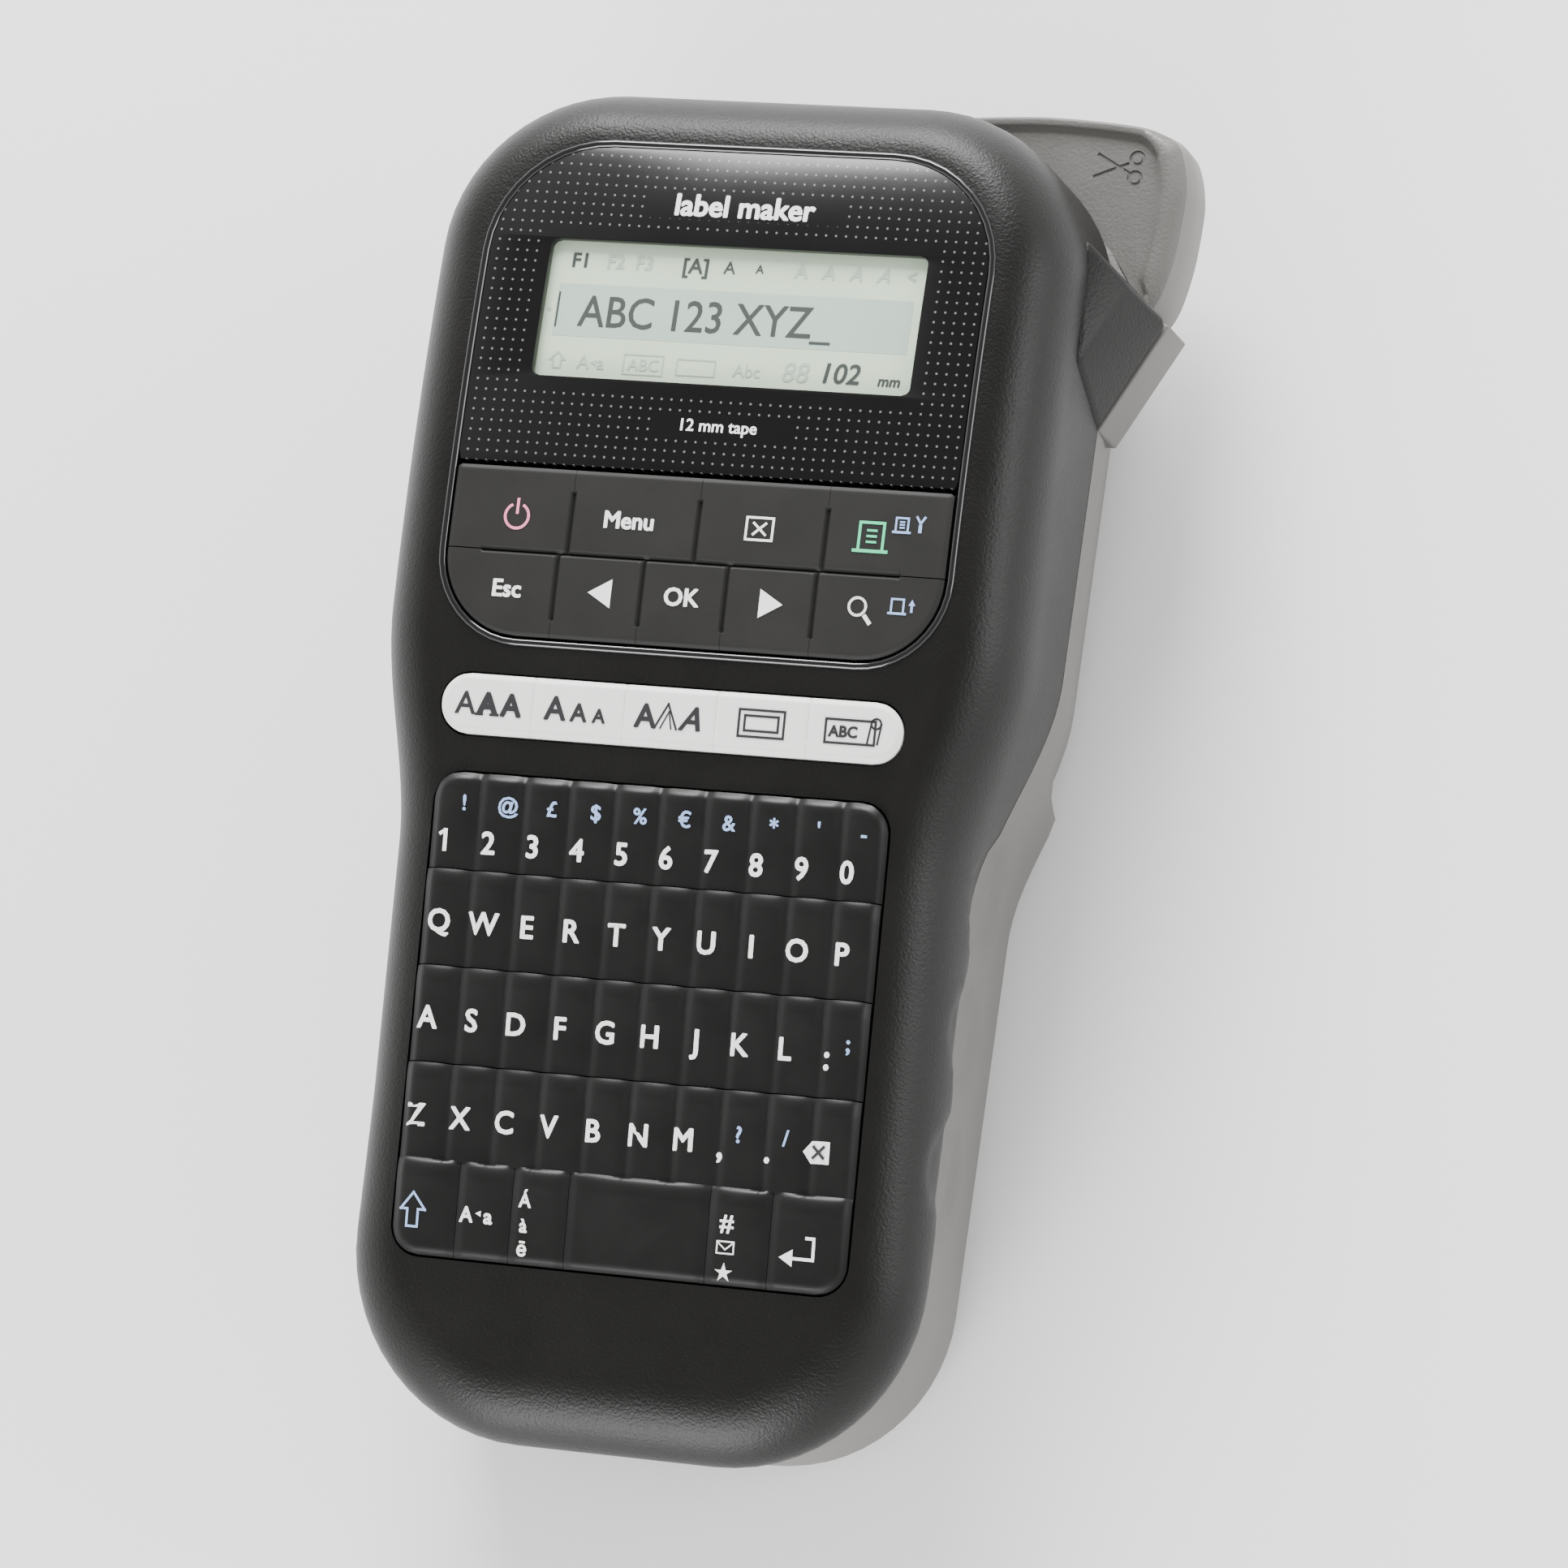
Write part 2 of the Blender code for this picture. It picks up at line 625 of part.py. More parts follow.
def end_inset(z):
    """How far the rear shell's display end stands in at one height."""
    knee = REAR_FACE_HEIGHT + REAR_FLARE_HEIGHT
    flare = REAR_FLARE_SHARE * REAR_TAPER
    if z > knee:
        return flare * (PARTING_HEIGHT - z) / (PARTING_HEIGHT - knee)
    return flare + (REAR_TAPER - flare) * (knee - z) / (REAR_FLARE_HEIGHT - REAR_EDGE)


def cut_bays(shell):
    """Open the rear shell's back wall for the cassette and the battery tray."""
    cut(shell, box("cassette_bay", (CASSETTE_LEFT - BAY_GAP, CASSETTE_START - BAY_GAP, -1.0),
                   (CASSETTE_RIGHT + BAY_GAP, CASSETTE_END + BAY_GAP, BAY_DEPTH)))
    cut(shell, box("battery_bay", (-TRAY_HALF - TOUCH_GAP, TRAY_BOTTOM - TOUCH_GAP, -1.0),
                   (TRAY_HALF + TOUCH_GAP, TRAY_TOP + TOUCH_GAP, BAY_DEPTH)))


def cut_screw_holes(shell):
    """Four stepped holes for the case screws."""
    head = SCREW_HEAD_RADIUS + TOUCH_GAP
    shank = SCREW_RADIUS + TOUCH_GAP
    step = REAR_FACE_HEIGHT + SCREW_HEAD_HEIGHT + 0.2
    profile = [(0, BAY_DEPTH), (shank, BAY_DEPTH), (shank, step), (head, step), (head, 0), (0, 0)]
    for i, (x, y) in enumerate(SCREW_PLACES):
        cut(shell, shaft(f"screw_hole_{i}", profile, x, y))


def make_rear_shell(material):
    """The grey rear housing with its bays, lever slot, label exit and socket hole."""
    shell = shell_surface("rear_shell", rear_rings(), material, SHELL_WALL)
    trim = PARTING_HEIGHT - TOUCH_GAP / 2
    cut(shell, parting_box("rear_trim", trim, trim + 20.0))
    join(shell, guard_block())
    cut(shell, prism("lever_slot", lever_slot_outline(), LEVER_LOW - LEVER_GAP, PARTING_HEIGHT + 1))
    boss_foot = PIN_FOOT - 2.0
    boss_top = LEVER_LOW - 2 * LEVER_GAP
    join(shell, shaft("pin_boss", rod(PIN_BOSS_RADIUS, boss_foot, boss_top), PIN_X, PIN_Y, steps=24))
    cut(shell, shaft("pin_hole", rod(LEVER_PIN_RADIUS + TOUCH_GAP, PIN_FOOT - TOUCH_GAP, PARTING_HEIGHT),
                     PIN_X, PIN_Y))
    half = EXIT_SLOT_WIDTH / 2
    right = RIGHT_WALL + 4.0
    cut(shell, box("label_exit", (right - EXIT_SLOT_LENGTH, TAPE_LINE - half, REAR_INNER - 0.5),
                   (right, TAPE_LINE + half, LEVER_LOW)))
    cut_bays(shell)
    cut_screw_holes(shell)
    cut(shell, turned("socket_hole", rod(JACK_RADIUS + TOUCH_GAP, -6.0, 16.0),
                      (JACK_X, BODY_BOTTOM, JACK_HEIGHT), axis="Y"))
    return shell


def make_back_cover(material):
    """The lift-off cover over the cassette and the batteries, which the maker lies on."""
    top = REAR_FACE_HEIGHT - TOUCH_GAP
    rows = round_rows(-COVER_HALF, COVER_HALF, COVER_BOTTOM, COVER_TOP, COVER_CORNER, COVER_CORNER,
                      middle=2)
    cover = slab("back_cover", rows, lambda y: top, lambda y: 0.0, material)
    pocket = round_rows(-COVER_HALF + COVER_RIM, COVER_HALF - COVER_RIM, COVER_BOTTOM + COVER_RIM,
                        COVER_TOP - COVER_RIM, COVER_CORNER - COVER_RIM, COVER_CORNER - COVER_RIM,
                        middle=2)
    cut(cover, slab("cover_pocket", pocket, lambda y: top + 2.0, lambda y: COVER_WALL))
    return cover


# ---------------------------------------------------------------- keys

def row_at(rows, y):
    """Left and right X of an outline at one y."""
    for upper, lower in zip(rows, rows[1:]):
        if upper[0] >= y >= lower[0]:
            t = (upper[0] - y) / max(upper[0] - lower[0], 1e-9)
            return tuple(upper[i] + (lower[i] - upper[i]) * t for i in (1, 2))
    raise ValueError("the outline does not reach this y")


def key_cell(name, outline, cell, proud, material):
    """One key: the part of an outline inside a cell (left, right, bottom, top)."""
    left, right, bottom, top = cell
    low = max(bottom + KEY_GAP / 2, outline[-1][0])
    high = min(top - KEY_GAP / 2, outline[0][0])
    heights = [high] + [row[0] for row in outline if low + 0.05 < row[0] < high - 0.05] + [low]
    rows = []
    for y in heights:
        edge_left, edge_right = row_at(outline, y)
        rows.append((y, max(left + KEY_GAP / 2, edge_left), min(right - KEY_GAP / 2, edge_right)))
    x_middle = (max(left, outline[len(outline) // 2][1]) + min(right, outline[len(outline) // 2][2])) / 2
    y_middle = (low + high) / 2
    origin = (x_middle, y_middle, front_height(y_middle))
    return slab(name, rows, on_face(proud), on_face(-KEY_SKIRT), material, origin)


def make_key_line(names, edges, outline, bottom, top, proud, material):
    """A line of keys side by side, split at the given x edges."""
    bounds = [-BODY_WIDTH] + edges + [BODY_WIDTH]
    for name, left, right in zip(names, bounds, bounds[1:]):
        key_cell(name, outline, (left, right, bottom, top), proud, material)


def make_function_keys(material):
    """Two lines of rubber keys under the display."""
    outline = pad_rows(-KEY_GAP)
    span = PANEL_HALF / 2
    upper = [PANEL_CENTRE + span * i for i in (-1, 0, 1)]
    lower = [PANEL_CENTRE + PANEL_HALF * f for f in (-0.533, -0.193, 0.138, 0.483)]
    make_key_line(["fn_power", "fn_menu", "fn_clear", "fn_print"], upper, outline,
                  PAD_MIDDLE, PAD_TOP, PAD_PROUD, material)
    make_key_line(["fn_escape", "fn_left", "fn_ok", "fn_right", "fn_preview"], lower, outline,
                  PAD_BOTTOM, PAD_MIDDLE, PAD_PROUD, material)


def make_style_keys(material):
    """The light strip of style keys."""
    edges = [STRIP_CENTRE + STRIP_HALF * 0.4 * i for i in (-1.5, -0.5, 0.5, 1.5)]
    make_key_line(["style_font", "style_size", "style_effect", "style_frame", "style_label"],
                  edges, strip_rows(0), STRIP_BOTTOM, STRIP_TOP, STRIP_PROUD, material)


def make_letter_keys(material):
    """Four rows of letter keys, each row one moulding, and the wide keys of the last row."""
    outline = keypad_rows(0)
    pitch = 2 * KEYPAD_HALF / KEY_COLUMNS
    for i, name in enumerate(["key_row_digits", "key_row_q", "key_row_a", "key_row_z"]):
        top = KEYPAD_TOP - i * KEY_ROW_PITCH
        cell = (-BODY_WIDTH, BODY_WIDTH, top - KEY_ROW_PITCH, top)
        row = key_cell(name, outline, cell, KEY_PROUD, material)
        for column in range(1, KEY_COLUMNS):
            x = -KEYPAD_HALF + pitch * column
            low = front_height(top - KEY_ROW_PITCH) - KEY_PROUD
            cut(row, box(f"{name}_groove_{column}", (x - 0.4, top - KEY_ROW_PITCH - 1, low),
                         (x + 0.4, top + 1, low + 8.0)))
    edges = [KEYPAD_HALF * f for f in (-0.717, -0.475, -0.229, 0.393, 0.664)]
    make_key_line(["key_shift", "key_caps", "key_accent", "key_space", "key_symbol", "key_enter"],
                  edges, outline, KEYPAD_BOTTOM, KEYPAD_BOTTOM + KEY_ROW_PITCH, KEY_PROUD, material)


# ---------------------------------------------------------------- display and boards

def make_display(panel_finish, glass_finish):
    """The glossy front panel and the display cell behind its window."""
    slab("display_panel", panel_rows(0), on_face(0), on_face(-PANEL_THICKNESS), panel_finish)
    top = -SHELL_WALL - TOUCH_GAP - 0.1
    slab("display_cell", glass_rows(DISPLAY_BORDER), on_face(top), on_face(top - DISPLAY_THICKNESS),
         glass_finish)


def make_boards(membrane_finish, board_finish):
    """The rubber dome sheet under the keys and the circuit board under it."""
    half = KEYPAD_HALF + 2.6
    rows = round_rows(-half, half, KEYPAD_BOTTOM - 1.0, PAD_TOP, 3.0, 3.0, steps=2, middle=8)
    top = -KEY_SKIRT - KEY_TRAVEL - TOUCH_GAP
    slab("key_membrane", rows, on_face(top), on_face(top - MEMBRANE), membrane_finish)
    origin = (0, PROFILE_START, PROFILE_HEIGHT)
    tilt = math.cos(KEY_TILT)
    box("key_board", (-half, (KEYPAD_BOTTOM - PROFILE_START) / tilt, -BOARD_DEPTH - BOARD_THICKNESS),
        (half, (PAD_TOP - PROFILE_START) / tilt, -BOARD_DEPTH), board_finish, origin, (KEY_TILT, 0, 0))


# ---------------------------------------------------------------- gears and shafts

def polar(radius, angle):
    """A point at a radius and angle."""
    return radius * math.cos(angle), radius * math.sin(angle)


def gear(name, teeth, phase, origin, bore, material):
    """A spur gear with one tooth centred on the phase angle, and a bore if it has one."""
    root = GEAR_MODULE * (teeth / 2 - GEAR_DEDENDUM)
    crest = GEAR_MODULE * (teeth / 2 + GEAR_ADDENDUM)
    step = 2 * math.pi / teeth
    points = []
    for i in range(teeth):
        centre = phase + i * step
        points.append(polar(root, centre - TOOTH_ROOT * step))
        points.append(polar(crest, centre - TOOTH_CREST * step))
        points.append(polar(crest, centre + TOOTH_CREST * step))
        points.append(polar(root, centre + TOOTH_ROOT * step))
    x, y = origin
    item = prism(name, points, GEAR_LOW, GEAR_HIGH, material, (x, y, 0))
    if bore:
        cut(item, shaft(name + "_bore", rod(bore, GEAR_LOW - 1, GEAR_HIGH + 1), x, y))
    return item


def mate_phase(phase, teeth, angle, other_teeth):
    """Phase of a gear whose gap meets the tooth of the gear it is driven by."""
    step = 2 * math.pi / teeth
    offset = (phase - angle + step / 2) % step - step / 2
    other_step = 2 * math.pi / other_teeth
    return angle + math.pi - offset * teeth / other_teeth + other_step / 2


def make_feed_train(rubber, plastic, metal):
    """Platen roller, idler, ribbon spindle and motor with their gears."""
    idler_x = PLATEN_X + GEAR_MODULE * (PLATEN_TEETH + IDLER_TEETH) / 2 * math.cos(IDLER_ANGLE)
    idler_y = PLATEN_Y + GEAR_MODULE * (PLATEN_TEETH + IDLER_TEETH) / 2 * math.sin(IDLER_ANGLE)
    spool_x = idler_x + GEAR_MODULE * (IDLER_TEETH + SPOOL_TEETH) / 2 * math.cos(SPOOL_ANGLE)
    spool_y = idler_y + GEAR_MODULE * (IDLER_TEETH + SPOOL_TEETH) / 2 * math.sin(SPOOL_ANGLE)
    motor_x = idler_x + GEAR_MODULE * (IDLER_TEETH + PINION_TEETH) / 2 * math.cos(PINION_ANGLE)
    motor_y = idler_y + GEAR_MODULE * (IDLER_TEETH + PINION_TEETH) / 2 * math.sin(PINION_ANGLE)
    idler_phase = mate_phase(0.0, PLATEN_TEETH, IDLER_ANGLE, IDLER_TEETH)
    spool_phase = mate_phase(idler_phase, IDLER_TEETH, SPOOL_ANGLE, SPOOL_TEETH)
    pinion_phase = mate_phase(idler_phase, IDLER_TEETH, PINION_ANGLE, PINION_TEETH)
    bore = SHAFT_RADIUS + RUN_GAP

    roller_low = REAR_INNER + TOUCH_GAP
    roller_high = roller_low + TAPE_WIDTH + 0.6
    shaft("platen_roller", [(0, GEAR_HIGH + 0.8), (SHAFT_RADIUS, GEAR_HIGH + 0.8),
                            (SHAFT_RADIUS, roller_high), (PLATEN_RADIUS, roller_high),
                            (PLATEN_RADIUS, roller_low), (0, roller_low)],
          PLATEN_X, PLATEN_Y, rubber, steps=20)
    gear("platen_gear", PLATEN_TEETH, 0.0, (PLATEN_X, PLATEN_Y), bore, plastic)
    gear("idler_gear", IDLER_TEETH, idler_phase, (idler_x, idler_y), bore, plastic)
    spindle = gear("ribbon_spindle", SPOOL_TEETH, spool_phase, (spool_x, spool_y), 0, plastic)
    join(spindle, shaft("spindle_shaft", [(0, GEAR_LOW + 1), (SHAFT_RADIUS, GEAR_LOW + 1),
                                          (SHAFT_RADIUS, PLATE_LOW - 0.5),
                                          (SPOOL_BORE - 0.6, PLATE_LOW - 0.5),
                                          (SPOOL_BORE - 0.6, roller_low), (0, roller_low)],
                        spool_x, spool_y))
    motor_low = GEAR_HIGH + 0.6
    bore_top = motor_low + MOTOR_BORE_DEPTH
    pinion = gear("motor_pinion", PINION_TEETH, pinion_phase, (motor_x, motor_y), 0, metal)
    join(pinion, shaft("pinion_shaft", rod(SHAFT_RADIUS, GEAR_LOW + 1, bore_top - TOUCH_GAP),
                       motor_x, motor_y))
    motor_high = motor_low + MOTOR_LENGTH
    shaft("feed_motor", [(0, motor_high), (MOTOR_RADIUS, motor_high), (MOTOR_RADIUS, motor_low),
                         (MOTOR_BORE, motor_low), (MOTOR_BORE, bore_top), (0, bore_top)],
          motor_x, motor_y, metal, steps=24)

    top = PLATE_LOW + PLATE_THICKNESS
    corner = (CASSETTE_RIGHT + 6.0, PLATEN_Y + 2.25)
    plate = prism("mechanism_plate", [
        (CASSETTE_LEFT - 2.0, CASSETTE_START - 2.0), (CASSETTE_RIGHT + 11.0, CASSETTE_START - 2.0),
        (CASSETTE_RIGHT + 11.0, TAPE_LINE - 2.2), corner, (CASSETTE_LEFT - 2.0, corner[1])],
        PLATE_LOW, top, metal)
    for name, x, y in (("platen", PLATEN_X, PLATEN_Y), ("spool", spool_x, spool_y)):
        cut(plate, shaft(name + "_plate_hole", rod(bore, PLATE_LOW - 1, top + 1), x, y))
    join(plate, shaft("idler_stub", rod(SHAFT_RADIUS, PLATE_LOW + 0.3, GEAR_HIGH + 0.3), idler_x, idler_y))
    return spool_x, spool_y


def make_cassette(material, spool):
    """The tape cassette, notched for the print head and bored for the ribbon spindle."""
    notch_x = CASSETTE_RIGHT - CASSETTE_NOTCH[0]
    notch_y = CASSETTE_END - CASSETTE_NOTCH[1]
    cassette = prism("tape_cassette", [
        (CASSETTE_LEFT, CASSETTE_START), (CASSETTE_RIGHT, CASSETTE_START), (CASSETTE_RIGHT, notch_y),
        (notch_x, notch_y), (notch_x, CASSETTE_END), (CASSETTE_LEFT, CASSETTE_END)],
        CASSETTE_FOOT, CASSETTE_ROOF, material)
    cut(cassette, shaft("spool_bore", rod(SPOOL_BORE, CASSETTE_FOOT + 1.0, CASSETTE_ROOF + 1), *spool))
    return cassette


def make_print_head(material):
    """The fixed thermal head that the platen presses the label against."""
    width, depth = HEAD_SIZE
    face = TAPE_LINE - TOUCH_GAP
    return box("print_head", (PLATEN_X - width / 2, face - depth, REAR_INNER + TOUCH_GAP),
               (PLATEN_X + width / 2, face, PLATE_LOW - TOUCH_GAP), material)


# ---------------------------------------------------------------- cutter

def lever_outline():
    """The lever's plan, relative to its pin."""
    return [(-4.0, 11.2), (2.3, 12.3), (16.3, 13.0), (26.0, 12.5), (33.8, 11.3), (35.9, 10.4),
            (36.8, 9.4), (38.2, 5.0), (38.8, -0.1), (38.3, -8.0), (36.0, -16.7), (33.5, -18.0),
            (28.0, -13.0), (23.0, -7.0), (9.0, -4.5), (0.0, -4.5), (-4.4, -2.0), (-5.4, 5.0)]


def lever_slot_outline():
    """The part of the rear shell that the lever sweeps, with the guard left outside it."""
    x_end = RIGHT_WALL + 30.0
    y_end = BODY_TOP + 30.0
    x_start = PIN_X - SLOT_LEFT
    low = TAPE_LINE - SLOT_END
    tip_x, tip_y, _ = hood_point(HOOD_TIP)
    return [(x_start, PIN_Y - SLOT_LEFT + 1.0), (RIGHT_WALL - 6.0, low), (RIGHT_WALL + 0.55, low),
            (tip_x - 2.0, tip_y + 1.0), (x_end, tip_y + 1.4), (x_end, y_end), (x_start, y_end)]


def make_cutter(lever_finish, metal):
    """Lever, pin, return spring, blade and the bar it cuts against."""
    lever = prism("cutter_lever", lever_outline(), LEVER_LOW, LEVER_HIGH, lever_finish, (PIN_X, PIN_Y, 0))
    cut(lever, shaft("lever_bore", rod(LEVER_PIN_RADIUS + RUN_GAP, LEVER_LOW - 1, LEVER_HIGH + 1),
                     PIN_X, PIN_Y))
    shaft("lever_pin", rod(LEVER_PIN_RADIUS, PIN_FOOT, LEVER_HIGH + PIN_ABOVE_LEVER), PIN_X, PIN_Y, metal)
    ring = LEVER_PIN_RADIUS + RUN_GAP
    wall, height = SPRING_SIZE
    low = LEVER_HIGH + RUN_GAP + 0.2
    coil = [(ring + wall, low + height), (ring + wall, low), (ring, low), (ring, low + height),
            (ring + wall, low + height)]
    shaft("lever_spring", coil, PIN_X, PIN_Y, metal)
    make_blade(metal)


def make_blade(metal):
    """The blade that hangs from the lever, and the bar it cuts against."""
    x = RIGHT_WALL - BLADE_WALL_GAP
    tip = TAPE_LINE + BLADE_REST_GAP
    roof = LEVER_LOW - TOUCH_GAP
    shelf = roof - 2.5
    low = REAR_INNER + 0.8
    reach = TOP_CORNER - end_inset(shelf) - SHELL_WALL - TOUCH_GAP
    outer = x + BLADE_THICKNESS / 2 - (RIGHT_WALL - TOP_CORNER)
    arm = BODY_TOP - TOP_CORNER + math.sqrt(reach ** 2 - outer ** 2)
    side = [(tip, low), (tip + BLADE_HEIGHT, low), (tip + BLADE_HEIGHT, shelf), (arm, shelf),
            (arm, roof), (tip, roof)]
    bm = bmesh.new()
    face = bm.faces.new([bm.verts.new((x - BLADE_THICKNESS / 2, y, z)) for y, z in side])
    raised = bmesh.ops.extrude_face_region(bm, geom=[face])["geom"]
    moved = [item for item in raised if isinstance(item, bmesh.types.BMVert)]
    bmesh.ops.translate(bm, vec=(BLADE_THICKNESS, 0, 0), verts=moved)
    bmesh.ops.translate(bm, vec=(-PIN_X, -PIN_Y, 0), verts=bm.verts)
    add_object("cutter_blade", bm, metal, (PIN_X, PIN_Y, 0))
    width, depth = ANVIL_SIZE
    face_y = TAPE_LINE - 3 * TOUCH_GAP
    box("cutter_anvil", (x + 2.0 - width, face_y - depth, REAR_INNER + TOUCH_GAP),
        (x + 2.0, face_y, roof - 0.6), metal)


# ---------------------------------------------------------------- power

def make_power(tray_finish, cell_finish, metal, socket_finish):
    """Battery tray, six cells, two contact strips and the power socket."""
    tray = box("battery_tray", (-TRAY_HALF, TRAY_BOTTOM, REAR_FACE_HEIGHT + 0.2),
               (TRAY_HALF, TRAY_TOP, TRAY_ROOF), tray_finish)
    cut(tray, box("tray_pocket", (-TRAY_HALF + TRAY_WALL, TRAY_BOTTOM + TRAY_WALL, 0),
                  (TRAY_HALF - TRAY_WALL, TRAY_TOP - TRAY_WALL, TRAY_ROOF - TRAY_WALL)))
    make_cells(cell_finish)
    half = TRAY_HALF - TRAY_WALL - TOUCH_GAP
    low, high = CELL_HEIGHT - CONTACT_HALF_HEIGHT, CELL_HEIGHT + CONTACT_HALF_HEIGHT
    for name, y in (("contact_strip_low", TRAY_BOTTOM + TRAY_WALL + TOUCH_GAP),
                    ("contact_strip_high", TRAY_TOP - TRAY_WALL - TOUCH_GAP - CONTACT_THICKNESS)):
        box(name, (-half, y, low), (half, y + CONTACT_THICKNESS, high), metal)
    floor = JACK_LENGTH - 2.0
    pin_start = 1.5
    turned("power_socket", [(0, JACK_LENGTH), (JACK_RADIUS, JACK_LENGTH), (JACK_RADIUS, 0),
                            (JACK_BORE, 0), (JACK_BORE, floor), (JACK_PIN_RADIUS, floor),
                            (JACK_PIN_RADIUS, pin_start), (0, pin_start)],
           (JACK_X, BODY_BOTTOM + JACK_INSET, JACK_HEIGHT), socket_finish, axis="Y")


def make_cells(material):
    """Six round cells side by side, with their positive ends towards the display."""
    nub, rise = CELL_NUB
    shoulder_end = CELL_LENGTH - rise
    profile = [(0, CELL_LENGTH), (nub, CELL_LENGTH), (nub, shoulder_end), (CELL_RADIUS, shoulder_end),
               (CELL_RADIUS, 0), (0, 0)]
    start = TRAY_BOTTOM + TRAY_WALL + CONTACT_SPACE
    for i in range(CELL_COUNT):
        x = (i - (CELL_COUNT - 1) / 2) * CELL_PITCH
        turned(f"battery_cell_{i + 1}", profile, (x, start, CELL_HEIGHT), material, axis="Y", steps=16)


def make_screws(metal):
    """Four screws that hold the two shells together."""
    head_low = REAR_FACE_HEIGHT + 0.1
    head_high = head_low + SCREW_HEAD_HEIGHT - 0.2
    for i, (x, y) in enumerate(SCREW_PLACES):
        tip = head_high + SCREW_LENGTH
        shaft(f"case_screw_{i + 1}", [(0, tip), (SCREW_RADIUS, tip), (SCREW_RADIUS, head_high),
                                      (SCREW_HEAD_RADIUS, head_high), (SCREW_HEAD_RADIUS, head_low),
                                      (0, head_low)], x, y, metal)


def main():
    """Build the whole label maker."""
    clear_scene()
    black = finish("black_plastic", (0.02, 0.02, 0.021), 0.45)
    grey = finish("grey_plastic", (0.16, 0.155, 0.15), 0.5)
    gloss = finish("gloss_panel", (0.01, 0.01, 0.012), 0.08)
    glass = finish("display_glass", (0.6, 0.66, 0.58), 0.15)
    rubber = finish("key_rubber", (0.03, 0.03, 0.032), 0.6)
    white = finish("white_keys", (0.8, 0.8, 0.78), 0.5)
    board = finish("circuit_board", (0.05, 0.2, 0.08), 0.5)
    steel = finish("steel", (0.6, 0.6, 0.6), 0.35, 1.0)
    gear_white = finish("gear_plastic", (0.75, 0.74, 0.7), 0.5)
    cell = finish("cell_wrap", (0.12, 0.13, 0.15), 0.4)
    make_front_shell(black)
    make_rear_shell(grey)
    make_back_cover(grey)
    make_display(gloss, glass)
    make_boards(rubber, board)
    make_function_keys(rubber)
    make_style_keys(white)
    make_letter_keys(rubber)
    spool = make_feed_train(rubber, gear_white, steel)
    make_cassette(grey, spool)
    make_print_head(steel)
    make_cutter(grey, steel)
    make_power(black, cell, steel, black)
    make_screws(steel)


main()
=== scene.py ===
"""Handheld label maker: every visible piece, its finishes and a small photo studio.

Sizes in the classes are millimetres in the maker's own frame: +Y towards the display end,
+X towards the cutter lever, +Z out of the keyboard face. They become metres in a mesh.
"""
import logging
import math
from dataclasses import dataclass, field
from enum import Enum
from typing import Callable, Optional, Sequence

import bmesh
import bpy
from mathutils import Matrix, Vector


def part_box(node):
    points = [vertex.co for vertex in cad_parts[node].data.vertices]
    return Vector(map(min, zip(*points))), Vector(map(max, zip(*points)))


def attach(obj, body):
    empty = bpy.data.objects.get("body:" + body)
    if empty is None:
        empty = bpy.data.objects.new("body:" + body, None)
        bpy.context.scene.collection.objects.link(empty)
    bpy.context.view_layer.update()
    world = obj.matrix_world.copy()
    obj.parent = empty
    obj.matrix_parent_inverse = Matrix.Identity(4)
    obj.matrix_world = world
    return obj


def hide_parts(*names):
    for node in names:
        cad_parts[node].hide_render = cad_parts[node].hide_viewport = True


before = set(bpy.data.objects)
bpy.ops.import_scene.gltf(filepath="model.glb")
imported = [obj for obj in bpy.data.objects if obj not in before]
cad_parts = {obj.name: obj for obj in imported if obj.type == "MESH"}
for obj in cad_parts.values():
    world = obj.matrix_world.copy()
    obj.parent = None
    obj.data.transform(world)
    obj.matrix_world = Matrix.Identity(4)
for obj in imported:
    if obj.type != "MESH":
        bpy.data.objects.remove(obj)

LOG = logging.getLogger("label_maker")
MM = 0.001
Piece = bpy.types.Object
Tree = bpy.types.NodeTree
Socket = bpy.types.NodeSocket
Colour = tuple[float, float, float]
Point = tuple[float, float]
Row = tuple[float, float, float]
Height = Callable[[float, float], float]
WELD = 0.000002
SHEET_WELD = 0.00001
CAP_SHARE = 0.7
FATTENING_COPIES = 6
COPY_STEP = 0.002
COAT_ROUGHNESS = 0.08
RAMP_ENDS = (0.3, 0.7)
JOINT_GAP = 0.15
GUARD_TIP: Point = (8.9, -2.2)
GUARD_FOOT: Point = (0.2, -19.1)


# ---------------------------------------------------------------- shapes seen from the front

def smooth_step(value: float, start: float, end: float) -> float:
    """Rise from 0 to 1 between start and end, level at both.

    Args:
        value: Where to read the curve.
        start: Where it leaves 0.
        end: Where it reaches 1.

    Returns:
        The curve's value.
    """
    t = min(max((value - start) / (end - start), 0.0), 1.0)
    return t * t * (3 - 2 * t)


def node_box(name: str) -> tuple[Vector, Vector]:
    """Lowest and highest corner of a CAD node, in millimetres."""
    low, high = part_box(name)
    return Vector(low) / MM, Vector(high) / MM


def middle_of(name: str) -> tuple[float, ...]:
    """Middle of a CAD node's box, in millimetres."""
    return tuple((a + b) / 2 for a, b in zip(*node_box(name)))


@dataclass(frozen=True)
class FrontFace:
    """The maker's front: flat under the letter keys, a long arc past them."""

    top: float
    start: float = 2.9
    radius: float = 399.0
    tilt: float = math.radians(8.0)

    def height(self, y: float) -> float:
        """Height of the face above the table at one y."""
        rise = self.top - self.radius * math.tan(self.tilt) ** 2 / 2
        z = rise + math.tan(self.tilt) * (y - self.start)
        if y > self.start:
            z -= (y - self.start) ** 2 / (2 * self.radius)
        return z


